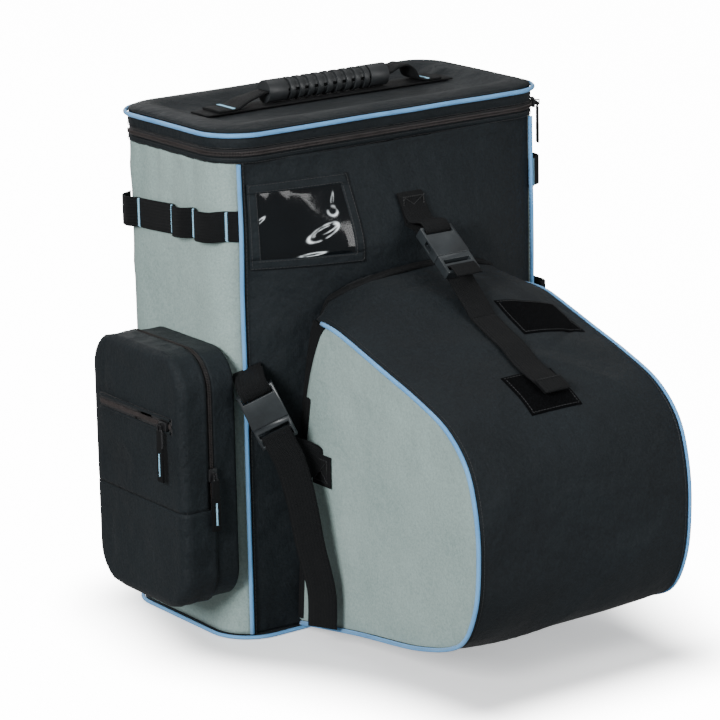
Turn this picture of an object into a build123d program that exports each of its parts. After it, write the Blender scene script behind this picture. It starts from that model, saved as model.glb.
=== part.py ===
from build123d import *
from math import cos, radians, sin, sqrt
import os

# Driving dimensions, in millimetres. The origin is the centre of the base's underside,
# the front faces -Y, and +Z is up.

# Body
body_width = 392.0
body_depth = 200.0
body_height = 474.0
corner_radius = 42.0
wall = 4.0
seam_setback = 20.0
base_thickness = 4.0
board_thickness = 3.0
board_margin = 12.0
piping_radius = 2.2
seat_gap = 0.3

# How far the front panel swells forward: share of the body height, and swell.
front_swell = [(0.0, 10.0), (0.25, 28.0), (0.53, 46.0), (0.82, 51.0), (1.0, 13.0)]

# Top band, lid and its zipper
band_height = 9.5
tape_height = 3.4
tape_inset = 1.0
tape_thickness = 1.6
coil_height = 1.2
coil_proud = 1.6
lid_band_height = 13.5
lid_pad_thickness = 10.0
lid_edge_fillet = 7.0
hinge_strip_width = 300.0
hinge_strip_height = 26.0
zip_end_setback = 22.0

# Carry handle
handle_setback = 12.0
handle_base_length = 300.0
handle_foot_reach = 112.0
handle_webbing_thickness = 2.4
grip_length = 146.0
grip_radius = 11.5
grip_collar_length = 22.0
grip_rib_count = 9
grip_lift = 3.0

# Webbing and side-release buckles
webbing_width = 30.0
webbing_thickness = 1.6
buckle_width = 38.0
buckle_thickness = 11.0
female_length = 36.0
male_length = 21.5
bar_length = 3.5
slot_length = 5.5
slot_width = 31.5
cavity_width = 30.0
cavity_thickness = 6.4
cavity_start = 12.5
window_start = 15.0
window_length = 10.0
guide_width = 7.0
prong_thickness = 5.4
arm_width = 4.4
arm_head_width = 6.4
arm_head_length = 9.0
arm_tip = 14.5

# Flap: the boot cover that swings forward, seen from its side. Each station has a place
# from the front (y), a height (z), and how far the cover's middle stands above its edges.
flap_half_width = 126.0
flap_wall = 3.6
flap_side_wall = 3.0
flap_clearance = 1.6
flap_binding_width = 8.0
rim_low = 250.0
flap_stations = [
    (-122.0, 343.0, 26.0),
    (-160.0, 329.0, 31.0),
    (-205.0, 315.0, 28.0),
    (-255.0, 299.0, 20.0),
    (-305.0, 283.0, 13.0),
    (-350.0, 264.0, 11.0),
    (-380.0, 235.0, 10.0),
    (-394.0, 195.0, 9.0),
    (-398.0, 150.0, 8.0),
    (-392.0, 98.0, 7.0),
    (-368.0, 58.0, 6.0),
    (-305.0, 37.0, 5.0),
    (-205.0, 24.0, 3.0),
    (-109.0, 9.0, 1.0),
]

# Centre strap and its buckle, in the middle of the front
center_buckle_front = -166.0
center_buckle_drop = 74.0
center_buckle_slope = 37.5
center_strap_drop = 43.0
center_strap_sewn_length = 33.0
center_strap_flap_start = -228.0
center_strap_end = -352.0
hook_patch_upper = (26.0, 108.0, -246.0, -182.0)
hook_patch_lower = (-38.0, 22.0, -366.0, -318.0)

# Side straps and their buckles: where the buckle starts and the way it runs
side_buckle_out = 7.0
side_buckle_gap = 6.2
side_buckle_height = 262.0
side_buckle_run = (-0.34, -0.24, -0.91)
side_anchor_height = 272.0
side_tail_inset = 25.0
side_tail_front = -158.0
side_tail_height = 27.0
side_tab_at = (-150.0, 178.0)
side_tab_length = 34.0
link_clearance = 5.6

# Gear loops sewn to the side panels, between bar tacks
gear_loop_drop = 55.0
gear_loop_tacks = [-86.0, -46.0, -8.0, 52.0, 88.0]
gear_loop_bulges = [9.0, 9.0, 0.0, 7.0]
tack_length = 6.0

# Document window on the front panel
window_left = -170.0
window_right = -62.0
window_drop = 17.0
window_height = 84.0
window_border = 10.0
film_thickness = 0.6
patch_thickness = 1.4

# Zipped pocket on the left side
pocket_depth = 62.0
pocket_front = -105.0
pocket_back = 52.0
pocket_bottom = 46.0
pocket_top = 300.0
pocket_radius = 36.0
pocket_wall = 3.0
pocket_gusset_depth = 30.0
pocket_hinge_height = 147.0
pocket_zip_height = 232.0
pocket_zip_margin = 14.0
pocket_zip_tape = 16.0
pocket_slider_height = 182.0
pocket_face_slider_place = -80.0

# Slip pocket on the right side
slip_front = -84.0
slip_back = 84.0
slip_bottom = 44.0
slip_top = 300.0
slip_depth = 14.0
slip_wall = 2.4
slip_hem_height = 16.0

# Zipper sliders and pulls
slider_length = 13.0
slider_width = 9.0
slider_thickness = 3.4
puller_length = 20.0
puller_width = 7.5
puller_thickness = 2.2
puller_arm_width = 1.6
crossbar_radius = 0.9
crossbar_height = 3.0
bail_thickness = 1.4
bail_width = 6.0
lid_tab_length = 20.0
pocket_tab_length = 34.0
tab_width = 9.0
rear_slider_place = -46.0
front_slider_angle = 30.0

# Back pad and shoulder straps
back_pad_width = 300.0
back_pad_bottom = 27.0
back_pad_drop = 47.0
back_pad_thickness = 9.0
back_pad_radius = 30.0
shoulder_spacing = 150.0
shoulder_width = 58.0
shoulder_thickness = 11.0
shoulder_drop = 44.0
shoulder_bottom = 120.0
yoke_height = 34.0
lower_webbing_width = 25.0
lower_anchor_spacing = 250.0
lower_anchor_height = 46.0
adjuster_width = 33.0
adjuster_length = 18.0
adjuster_thickness = 5.0

# Worked out
half_width = body_width / 2
half_depth = body_depth / 2
seam_x = half_width - seam_setback
arc_center_x = half_width - corner_radius
arc_center_y = half_depth - corner_radius
seam_y = arc_center_y + sqrt(corner_radius**2 - (seam_x - arc_center_x) ** 2)
panel_bottom = base_thickness + seat_gap
band_bottom = body_height + seat_gap
tape_bottom = band_bottom + band_height + seat_gap
tape_top = tape_bottom + tape_height + seat_gap
lid_band_bottom = tape_top + tape_height + seat_gap
lid_bottom = lid_band_bottom + lid_band_height + seat_gap
lid_top = lid_bottom + lid_pad_thickness
zip_height = tape_top - seat_gap / 2
window_top = body_height - window_drop
window_bottom = window_top - window_height
center_strap_top = body_height - center_strap_drop
center_strap_bottom = center_strap_top - center_strap_sewn_length
center_buckle_at = (center_buckle_front, body_height - center_buckle_drop)
side_buckle_at = (
    seam_x + side_buckle_out,
    -seam_y - side_buckle_gap - buckle_width / 2,
    side_buckle_height,
)
side_tail_foot = (seam_x - side_tail_inset, side_tail_front, side_tail_height)
gear_loop_height = body_height - gear_loop_drop
back_pad_height = body_height - back_pad_bottom - back_pad_drop
shoulder_top = body_height - shoulder_drop

os.makedirs("parts", exist_ok=True)


def write(name, shape):
    """One STEP file for one named piece."""
    export_step(shape, f"parts/{name}.step")


def block(low, high):
    """A box between two corners."""
    size = [b - a for a, b in zip(low, high)]
    middle = [(a + b) / 2 for a, b in zip(low, high)]
    return Pos(*middle) * Box(*size)


def plan(grow=0.0):
    """The body's rounded plan, grown or shrunk by an offset."""
    return RectangleRounded(body_width + 2 * grow, body_depth + 2 * grow, corner_radius + grow)


def plan_ring(low, high, thickness, inset=0.0):
    """A wall that follows the body's plan between two heights."""
    outline = plan(-inset) - plan(-inset - thickness)
    return Pos(0, 0, low) * extrude(outline, high - low)


def half_space(side, from_x, depth=body_depth * 4):
    """Everything beyond from_x on one side, for trimming."""
    reach = body_width
    near, far = sorted((side * from_x, side * (from_x + reach)))
    return block((near, -depth, -reach), (far, depth, reach * 3))


def tube(points, radius, bends):
    """A round tube along straight runs joined by arcs."""
    path = FilletPolyline(*points, radius=bends)
    start = Plane(origin=path @ 0, z_dir=path % 0)
    return sweep(start * Circle(radius), path=path)


def webbing_profile(plane, points, bend, thickness):
    """A bent strip seen edge on: the route's own line is one of its faces."""
    route = FilletPolyline(*points, radius=bend)
    return plane * make_face(offset(route, thickness, side=Side.LEFT, closed=True))


# Front panel and what lies on it


def front_section(height, swell, near, far):
    """A slice of a sheet that follows the swollen front, between two offsets from it."""
    half = seam_x - seat_gap
    far_y = -seam_y - far
    near_y = -seam_y - near
    outer = ThreePointArc((-half, far_y), (0, far_y - swell), (half, far_y))
    inner = ThreePointArc((half, near_y), (0, near_y - swell), (-half, near_y))
    edges = [outer, Line(outer @ 1, inner @ 0), inner, Line(inner @ 1, outer @ 0)]
    return Pos(0, 0, height) * make_face(edges)


def front_sheet(near, far):
    """A sheet over the whole front panel, between two offsets forward of its face."""
    rise = body_height - panel_bottom
    slices = [front_section(panel_bottom + share * rise, swell, near, far) for share, swell in front_swell]
    return loft(slices)


def front_patch(low_x, high_x, low_z, high_z, near, far):
    """A piece of such a sheet."""
    window = block((low_x, -body_depth * 2, low_z), (high_x, 0, high_z))
    return front_sheet(near, far) & window


def make_body():
    """Base, walls, top band and their piping."""
    write("base_panel", extrude(plan(), base_thickness))
    board = Pos(0, 0, panel_bottom) * extrude(plan(-board_margin), board_thickness)
    ring = plan_ring(panel_bottom, body_height, wall)
    for name, side in (("left", -1), ("right", 1)):
        write(f"side_panel_{name}", ring & half_space(side, seam_x))
    middle = block((-seam_x + seat_gap, 0, 0), (seam_x - seat_gap, body_depth, body_height * 2))
    write("back_panel", ring & middle)
    write("front_panel", front_sheet(-wall, 0))
    write("top_band", plan_ring(band_bottom, band_bottom + band_height, wall))
    foot = plan_ring(seat_gap, base_thickness - seat_gap, 2 * piping_radius, -seat_gap - 2 * piping_radius)
    pipes = [foot]
    for side in (-1, 1):
        place = Pos(side * (seam_x + piping_radius), -seam_y - piping_radius - 0.6, panel_bottom + 2)
        pipes.append(place * extrude(Circle(piping_radius), body_height - panel_bottom - 6))
    write("body_piping", Compound(children=pipes))
    stiffener_y = half_depth - wall - seat_gap
    stiffener = block(
        (-arc_center_x + 2, stiffener_y - board_thickness, panel_bottom + 14),
        (arc_center_x - 2, stiffener_y, body_height - 14),
    )
    write("stiffener_boards", Compound(children=[board, stiffener]))


def make_window():
    """Document window: a clear film held by a stitched frame."""
    film_far = seat_gap + film_thickness
    frame_near = film_far + seat_gap
    film_edge = window_border / 2
    film = front_patch(
        window_left + film_edge,
        window_right - film_edge,
        window_bottom + film_edge,
        window_top - film_edge,
        seat_gap,
        film_far,
    )
    write("id_window_film", film)
    frame = front_patch(
        window_left, window_right, window_bottom, window_top, frame_near, frame_near + patch_thickness
    )
    hole = block(
        (window_left + window_border, -body_depth * 2, window_bottom + window_border),
        (window_right - window_border, 0, window_top - window_border),
    )
    write("id_window_frame", frame - hole)


# Lid


def make_lid():
    """Padded lid, its band, piping, hinge strip and the zipper that closes it."""
    front_end = half_depth - zip_end_setback
    front_part = block((-body_width, -body_depth, 0), (body_width, front_end, lid_top * 2))
    lower_coil_bottom = tape_bottom + tape_height - coil_height
    for name, low, coil_low in (("lower", tape_bottom, lower_coil_bottom), ("upper", tape_top, tape_top)):
        tape = plan_ring(low, low + tape_height, tape_thickness, tape_inset)
        coil = plan_ring(coil_low, coil_low + coil_height, coil_proud + 1, tape_inset - coil_proud)
        write(f"lid_zip_{name}", (tape + coil) & front_part)
    write("lid_band", plan_ring(lid_band_bottom, lid_band_bottom + lid_band_height, wall))
    pad = Pos(0, 0, lid_bottom) * extrude(plan(), lid_pad_thickness)
    pad = fillet(pad.faces().sort_by(Axis.Z)[-1].edges(), lid_edge_fillet)
    write("lid_top_panel", pad)
    edge = plan(seat_gap + 2 * piping_radius) - plan(seat_gap)
    write("lid_piping", Pos(0, 0, lid_bottom - piping_radius) * extrude(edge, 2 * piping_radius))
    strip_low = zip_height - hinge_strip_height / 2
    strip = block(
        (-hinge_strip_width / 2, half_depth + seat_gap, strip_low),
        (hinge_strip_width / 2, half_depth + seat_gap + 1.2, strip_low + hinge_strip_height),
    )
    write("lid_hinge_strip", strip)


def make_handle():
    """Moulded grip on folded webbing, on a strip sewn to the lid."""
    base_top = lid_top + seat_gap + webbing_thickness
    half_base = handle_base_length / 2
    base = block(
        (-half_base, handle_setback - webbing_width / 2, lid_top + seat_gap),
        (half_base, handle_setback + webbing_width / 2, base_top),
    )
    write("handle_base_strip", base)
    grip_axis = base_top + grip_lift + grip_radius
    half_grip = grip_length / 2
    tunnel_width = webbing_width * 0.6
    tunnel_height = handle_webbing_thickness + 2 * seat_gap
    lying = Plane(origin=(-half_grip, handle_setback, grip_axis), x_dir=(0, 1, 0), z_dir=(1, 0, 0))
    core = extrude(lying * Circle(grip_radius - 2), grip_length)
    for low in (-half_grip, half_grip - grip_collar_length):
        collar = Plane(origin=(low, handle_setback, grip_axis), x_dir=(0, 1, 0), z_dir=(1, 0, 0))
        core += extrude(collar * Circle(grip_radius), grip_collar_length)
    rib_span = grip_length - 2 * grip_collar_length
    pitch = rib_span / grip_rib_count
    for number in range(grip_rib_count):
        low = -rib_span / 2 + (number + 0.28) * pitch
        rib = Plane(origin=(low, handle_setback, grip_axis), x_dir=(0, 1, 0), z_dir=(1, 0, 0))
        core += extrude(rib * Circle(grip_radius), pitch * 0.5)
    tunnel = Pos(0, handle_setback, grip_axis) * Box(grip_length * 2, tunnel_width + 1, tunnel_height)
    write("handle_grip", core - tunnel)
    foot = base_top + seat_gap
    under = grip_axis - handle_webbing_thickness / 2
    reach = handle_foot_reach
    points = [(-reach - 24, foot), (-reach, foot), (-half_grip - 8, under)]
    points += [(-x, z) for x, z in reversed(points)]
    profile = webbing_profile(Plane.XZ, points, 6, handle_webbing_thickness)
    webbing = Pos(0, handle_setback + tunnel_width / 2, 0) * extrude(profile, tunnel_width, dir=(0, -1, 0))
    write("handle_strap", webbing)


# Buckles


def buckle_slab(plane, start, end, width, thickness, offset=0.0, lift=0.0):
    """A box in a buckle's own axes: along its run, across it, and through it."""
    size = (width, end - start, thickness)
    return plane * Pos(offset, (start + end) / 2, lift) * Box(*size)


def buckle_frame(origin, run, facing):
    """Axes for a buckle: Y along its run, Z out of its face."""
    along = Vector(*run).normalized()
    out = Vector(*facing)
    out = (out - along * out.dot(along)).normalized()
    return Plane(origin=origin, x_dir=along.cross(out), z_dir=out)


def make_buckle(name, plane):
    """Side-release buckle: a socket, and a plug with its guide and its two sprung arms."""
    socket = buckle_slab(plane, 0, female_length, buckle_width, buckle_thickness)
    socket -= buckle_slab(plane, bar_length, bar_length + slot_length, slot_width, buckle_thickness * 2)
    socket -= buckle_slab(plane, cavity_start, female_length + 1, cavity_width, cavity_thickness)
    window_end = window_start + window_length
    socket -= buckle_slab(plane, window_start, window_end, buckle_width * 2, cavity_thickness)
    write(f"{name}_buckle_socket", socket)
    plug_start = female_length + seat_gap
    plug_end = plug_start + male_length
    plug = buckle_slab(plane, plug_start, plug_end, buckle_width, buckle_thickness - 1)
    for bar in (bar_length, 2 * bar_length + slot_length * 0.8):
        slot_end = plug_end - bar
        slot = buckle_slab(plane, slot_end - slot_length * 0.8, slot_end, slot_width, buckle_thickness * 2)
        plug -= slot
    arm_middle = cavity_width / 2 - seat_gap - arm_width / 2
    head_middle = cavity_width / 2 - seat_gap - arm_head_width / 2
    head_end = arm_tip + arm_head_length
    for side in (-1, 1):
        plug += buckle_slab(plane, arm_tip, plug_start + 1, arm_width, prong_thickness, side * arm_middle)
        plug += buckle_slab(plane, arm_tip, head_end, arm_head_width, prong_thickness, side * head_middle)
    plug += buckle_slab(plane, arm_tip + 2, plug_start + 1, guide_width, prong_thickness)
    write(f"{name}_buckle_plug", plug)


def buckle_fold(plane, points, width=webbing_width):
    """Webbing bent in a buckle's side view, from (along, out) points."""
    side_view = Plane(origin=plane.origin, x_dir=plane.y_dir, z_dir=plane.y_dir.cross(plane.z_dir))
    bend = webbing_profile(side_view, points, 2.0, webbing_thickness)
    return extrude(bend, width / 2, both=True)


def socket_fold(plane, reach):
    """Webbing looped through a socket's slot, its back leg of the given reach."""
    points = [(-reach, -fold_out), (socket_slot, -fold_out), (socket_slot, fold_out), (-3, fold_out)]
    return buckle_fold(plane, points)


def plug_fold(plane):
    """Webbing looped through a plug's slot."""
    front = [(plug_slot + 6, fold_out), (plug_slot, fold_out)]
    back = [(plug_slot, -fold_out), (plug_slot + 9, -fold_out)]
    return buckle_fold(plane, front + back)


def strip(start, end, width, start_across, end_across):
    """A flat strip of webbing from one place to another, turned as it goes."""
    run = (Vector(*end) - Vector(*start)).normalized()
    ends = []
    for place, across in ((start, start_across), (end, end_across)):
        flat = Vector(*across)
        flat = (flat - run * flat.dot(run)).normalized()
        ends.append(Plane(origin=place, x_dir=flat, z_dir=run) * Rectangle(width, webbing_thickness))
    return loft(ends, ruled=True)


fold_out = buckle_thickness / 2 + seat_gap + webbing_thickness
socket_slot = bar_length + slot_length / 2
plug_slot = female_length + seat_gap + male_length - bar_length - slot_length * 0.4


# Flap


def flap_frames():
    """A section plane at each station: X across the flap and Y out of its cover."""
    frames = []
    last = len(flap_stations) - 1
    for index, (y, z, _) in enumerate(flap_stations):
        before = flap_stations[max(index - 1, 0)]
        after = flap_stations[min(index + 1, last)]
        run = Vector(0, after[0] - before[0], after[1] - before[1]).normalized()
        frames.append(Plane(origin=(0, y, z), x_dir=(1, 0, 0), z_dir=run))
    return frames


def cover_sheet(near, far):
    """A sheet that follows the flap's cover between two offsets from its outer face."""
    slices = []
    for frame, (_, _, crown) in zip(flap_frames(), flap_stations):
        outer = ThreePointArc((-flap_half_width, far), (0, far + crown), (flap_half_width, far))
        inner = ThreePointArc((flap_half_width, near), (0, near + crown), (-flap_half_width, near))
        edges = [outer, Line(outer @ 1, inner @ 0), inner, Line(inner @ 1, outer @ 0)]
        slices.append(frame * make_face(edges))
    return loft(slices, ruled=True)


def cover_patch(low_x, high_x, low_y, high_y, near, far):
    """A piece of that sheet, on the flap's upper side."""
    upper = block((low_x, low_y, flap_stations[6][1]), (high_x, high_y, body_height))
    return cover_sheet(near, far) & upper


def flap_point(frame, out):
    """The place in the flap's side view at an offset from a station."""
    at = frame.origin + frame.y_dir * out
    return (at.Y, at.Z)


def front_crest():
    """How far the front panel stands forward of its side seams at its fullest."""
    return -front_sheet(-wall, 0).bounding_box().min.Y - seam_y


def rim_wall(near, far):
    """An upright curved wall that follows the front panel where the flap's rim meets it."""
    swell = front_crest()
    reach = seam_x - seat_gap
    outer = ThreePointArc((-reach, -seam_y - far), (0, -seam_y - far - swell), (reach, -seam_y - far))
    inner = ThreePointArc((reach, -seam_y - near), (0, -seam_y - near - swell), (-reach, -seam_y - near))
    edges = [outer, Line(outer @ 1, inner @ 0), inner, Line(inner @ 1, outer @ 0)]
    return Pos(0, 0, rim_low) * extrude(make_face(edges), body_height - rim_low)


def make_flap():
    """Flap cover, its side panels, edge binding and piping."""
    cover = cover_sheet(-flap_wall, 0)
    rim_far = flap_clearance + flap_binding_width
    frames = flap_frames()
    outline = [flap_point(frame, -flap_wall - seat_gap - 0.4) for frame in frames]
    profile = Plane.YZ * make_face(Polyline(*outline, close=True))
    behind = front_sheet(-body_depth * 0.45, rim_far + seat_gap)
    edge_band = front_sheet(flap_clearance, rim_far)
    rim = cover & rim_wall(flap_clearance, rim_far)
    for name, side in (("left", -1), ("right", 1)):
        start = Pos(side * (flap_half_width - flap_side_wall), 0, 0)
        panel = start * extrude(profile, flap_side_wall, dir=(side, 0, 0))
        write(f"flap_side_panel_{name}", panel - behind)
        rim += panel & edge_band
    write("flap_binding", rim)
    write("flap_cover", cover - rim_wall(-body_depth * 0.45, rim_far + seat_gap))
    pipes = []
    for side in (-1, 1):
        across = side * (flap_half_width + seat_gap + piping_radius)
        route = [(across, *flap_point(frame, -piping_radius)) for frame in frames[1:]]
        pipes.append(tube(route, piping_radius, 16))
    write("flap_piping", Compound(children=pipes))
    patches = []
    for low_x, high_x, low_y, high_y in (hook_patch_upper, hook_patch_lower):
        patch = cover_patch(low_x, high_x, low_y, high_y, seat_gap, seat_gap + patch_thickness)
        patches.append(patch)
    write("hook_patches", Compound(children=patches))


def make_center_strap():
    """Strap over the flap: its sewn top, buckle, link and the length lying on the flap."""
    slope = radians(center_buckle_slope)
    run = (0, -cos(slope), -sin(slope))
    plane = buckle_frame((0, *center_buckle_at), run, (0, -1, 1))
    make_buckle("center", plane)
    sewn = front_patch(
        -webbing_width / 2,
        webbing_width / 2,
        center_strap_bottom,
        center_strap_top,
        seat_gap,
        seat_gap + webbing_thickness,
    )
    fold = socket_fold(plane, 8)
    root = Vector(0, -seam_y - front_crest() - seat_gap - webbing_thickness / 2, center_strap_bottom + 3)
    tip = plane.from_local_coords(Vector(0, -7, webbing_thickness / 2 - fold_out))
    upper_link = strip(tuple(root), tuple(tip), webbing_width, (1, 0, 0), (1, 0, 0))
    under = seat_gap + patch_thickness + seat_gap
    lying = cover_patch(
        -webbing_width / 2,
        webbing_width / 2,
        center_strap_end,
        center_strap_flap_start,
        under,
        under + webbing_thickness,
    )
    write("center_strap_lower", lying)
    start = plane.from_local_coords(Vector(0, plug_slot + 8, webbing_thickness / 2 - fold_out))
    top = lying.vertices().sort_by(Axis.Y)[-1]
    end = (0, center_strap_flap_start + seat_gap, top.Z + 2.4)
    link = strip(tuple(start), end, webbing_width, (1, 0, 0), (1, 0, 0))
    write("center_strap_link", plug_fold(plane) + link)
    return sewn + fold + upper_link


def make_side_strap(name, side):
    """Strap from the front seam to the flap's side, with its buckle and hanging tail."""
    mirrored = [(side * x, y, z) for x, y, z in (side_buckle_at, side_buckle_run, (0.55, -1.0, 0.0))]
    plane = buckle_frame(*mirrored)
    make_buckle(name, plane)
    fold = socket_fold(plane, 5)
    edge_low, edge_high = sorted((side * (seam_x - 24), side * (seam_x - 4)))
    root_low = side_anchor_height - webbing_width / 2
    root_high = side_anchor_height + webbing_width / 2
    sewn = front_patch(edge_low, edge_high, root_low, root_high, seat_gap, seat_gap + webbing_thickness)
    tip = plane.from_local_coords(Vector(0, -4.2, webbing_thickness / 2 - fold_out))
    middle = sewn.center() + Vector(-side * 2, -2.4 * webbing_thickness, 0)
    run = strip(tuple(middle), tuple(tip), webbing_width, (0, 0, 1), tuple(plane.x_dir))
    tab_x = side * (flap_half_width + seat_gap)
    tab_y, tab_z = side_tab_at
    low_x, high_x = sorted((tab_x, tab_x + side * webbing_thickness))
    tab = block(
        (low_x, tab_y - webbing_width / 2, tab_z - side_tab_length / 2),
        (high_x, tab_y + webbing_width / 2, tab_z + side_tab_length / 2),
    )
    start = plane.from_local_coords(Vector(0, plug_slot + 8, webbing_thickness / 2 - fold_out))
    end = (tab_x + side * (webbing_thickness + link_clearance), tab_y, tab_z)
    link = strip(tuple(start), end, webbing_width, tuple(plane.x_dir), (side * 0.1, 0.3, -0.95))
    write(f"{name}_strap_link", plug_fold(plane) + link)
    tail_level = fold_out + seat_gap + webbing_thickness / 2 + 0.4
    tail_root = plane.from_local_coords(Vector(0, plug_slot + 3.5, tail_level))
    foot = (side * side_tail_foot[0], side_tail_foot[1], side_tail_foot[2])
    tail = strip(tuple(tail_root), foot, webbing_width, tuple(plane.x_dir), (side * 0.55, 0.83, 0))
    write(f"{name}_strap_tail", tail)
    return sewn + fold + run, tab


# Sides


def make_gear_loops(side):
    """Webbing sewn down at bar tacks, standing off the panel between them."""
    face = side * (half_width + seat_gap)
    thick = side * webbing_thickness
    faces = []
    for start, end, bulge in zip(gear_loop_tacks, gear_loop_tacks[1:], gear_loop_bulges):
        low = start + tack_length / 2
        high = end - tack_length / 2
        if bulge:
            under = ThreePointArc((face, low), (face + side * bulge, (low + high) / 2), (face, high))
            over = ThreePointArc(
                (face + thick, high), (face + thick + side * bulge, (low + high) / 2), (face + thick, low)
            )
            faces.append(make_face([under, Line(under @ 1, over @ 0), over, Line(over @ 1, under @ 0)]))
        else:
            faces.append(Pos(face + thick / 2, (low + high) / 2) * Rectangle(webbing_thickness, high - low))
    for tack in gear_loop_tacks:
        faces.append(Pos(face + thick / 2, tack) * Rectangle(webbing_thickness, tack_length))
    run = faces[0]
    for piece in faces[1:]:
        run += piece
    return Pos(0, 0, gear_loop_height - webbing_width / 2) * extrude(run, webbing_width)


def pocket_plan(grow=0.0):
    """The left pocket's rounded outline, as seen from its side."""
    length = pocket_back - pocket_front + 2 * grow
    height = pocket_top - pocket_bottom + 2 * grow
    middle_y = (pocket_back + pocket_front) / 2
    middle_z = (pocket_top + pocket_bottom) / 2
    return Plane.YZ * Pos(middle_y, middle_z) * RectangleRounded(length, height, pocket_radius + grow)


def pocket_slab(outline, near, far):
    """An outline carried outwards from the left side panel between two distances."""
    return Pos(-half_width - near, 0, 0) * extrude(outline, far - near, dir=(-1, 0, 0))


def make_left_pocket():
    """Deep pocket: fixed gusset, lower shell, and a front that unzips and folds down."""
    ring = pocket_plan() - pocket_plan(-pocket_wall)
    inner_far = pocket_gusset_depth - seat_gap / 2
    outer_near = pocket_gusset_depth + seat_gap / 2
    lower_half = block((-body_width, -body_depth, 0), (0, body_depth, pocket_hinge_height))
    upper_low = (-body_width, -body_depth, pocket_hinge_height + seat_gap)
    upper_half = block(upper_low, (0, body_depth, body_height))
    tape = 4.0
    gusset = pocket_slab(ring, seat_gap, inner_far - tape)
    write("pocket_gusset", gusset)
    shell = pocket_slab(ring, inner_far - tape + seat_gap, pocket_depth)
    shell += pocket_slab(pocket_plan(), pocket_depth - pocket_wall, pocket_depth)
    write("pocket_lower_shell", shell & lower_half)
    cover = pocket_slab(ring, outer_near + tape, pocket_depth)
    cover += pocket_slab(pocket_plan(), pocket_depth - pocket_wall, pocket_depth)
    write("pocket_cover", cover & upper_half)
    tape_ring = pocket_plan(-0.6) - pocket_plan(-0.6 - tape_thickness)
    coil_ring = pocket_plan(0.8) - pocket_plan(-0.6)
    fixed = pocket_slab(tape_ring, inner_far - tape + seat_gap, inner_far)
    fixed += pocket_slab(coil_ring, inner_far - coil_height, inner_far)
    write("pocket_zip_inner", fixed & upper_half)
    moving = pocket_slab(tape_ring, outer_near, outer_near + tape - seat_gap)
    moving += pocket_slab(coil_ring, outer_near, outer_near + coil_height)
    write("pocket_zip_outer", moving & upper_half)
    face = -half_width - pocket_depth - seat_gap
    low_y = pocket_front + pocket_zip_margin
    high_y = pocket_back - pocket_zip_margin
    strip_low = pocket_zip_height - pocket_zip_tape / 2
    band = block((face - 1, low_y, strip_low), (face, high_y, strip_low + pocket_zip_tape))
    ridge = block((face - 2, low_y, pocket_zip_height - 2), (face - 0.9, high_y, pocket_zip_height + 2))
    write("pocket_face_zip", band + ridge)


def make_slip_pocket():
    """Flat open-topped pocket on the right side, with an elastic hem."""
    near = half_width + seat_gap
    far = near + slip_depth
    shell = block((near, slip_front, slip_bottom), (far, slip_back, slip_top - slip_hem_height - seat_gap))
    shell -= block(
        (near - 1, slip_front + slip_wall, slip_bottom + slip_wall),
        (far - slip_wall, slip_back - slip_wall, slip_top),
    )
    write("slip_pocket", shell)
    hem = block((near, slip_front, slip_top - slip_hem_height), (far, slip_back, slip_top))
    hem -= block(
        (near - 1, slip_front + slip_wall, slip_bottom),
        (far - slip_wall, slip_back - slip_wall, slip_top + 1),
    )
    write("slip_pocket_hem", hem)


# Zipper sliders


def make_slider(name, plane, tab_length, upright=False):
    """A slider and its pull: Z out of the zipper, and the pull hangs along -Y from its crossbar."""
    size = (slider_width, slider_length) if upright else (slider_length, slider_width)
    body = plane * Pos(0, 0, slider_thickness / 2) * Box(*size, slider_thickness)
    bail_height = crossbar_height + crossbar_radius + seat_gap + bail_thickness
    bail = plane * Pos(0, 0, slider_thickness + bail_height / 2) * Box(bail_thickness, bail_width, bail_height)
    eye_width = bail_width - 2 * bail_thickness
    eye_height = 2 * (crossbar_radius + seat_gap)
    eye = plane * Pos(0, 0, slider_thickness + crossbar_height) * Box(slider_length, eye_width, eye_height)
    write(f"{name}_slider", body + bail - eye)
    lift = slider_thickness + crossbar_height
    arm_place = bail_thickness / 2 + seat_gap + puller_arm_width / 2
    bar_length_all = 2 * arm_place + puller_arm_width
    turned = plane * Pos(0, 0, lift) * Rot(0, 90, 0)
    pull = turned * Cylinder(crossbar_radius, bar_length_all)
    arm_length = bail_width / 2 + 2
    for side in (-1, 1):
        arm = Box(puller_arm_width, arm_length, 2 * crossbar_radius)
        pull += plane * Pos(side * arm_place, -arm_length / 2, lift) * arm
    plate_start = arm_length - 0.5
    pull += plane * Pos(0, -plate_start - puller_length / 2, lift) * Box(
        puller_width, puller_length, puller_thickness
    )
    tab_start = plate_start + puller_length - 3
    pull += plane * Pos(0, -tab_start - tab_length / 2, lift) * Box(tab_width, tab_length, puller_thickness)
    write(f"{name}_pull", pull)


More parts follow.
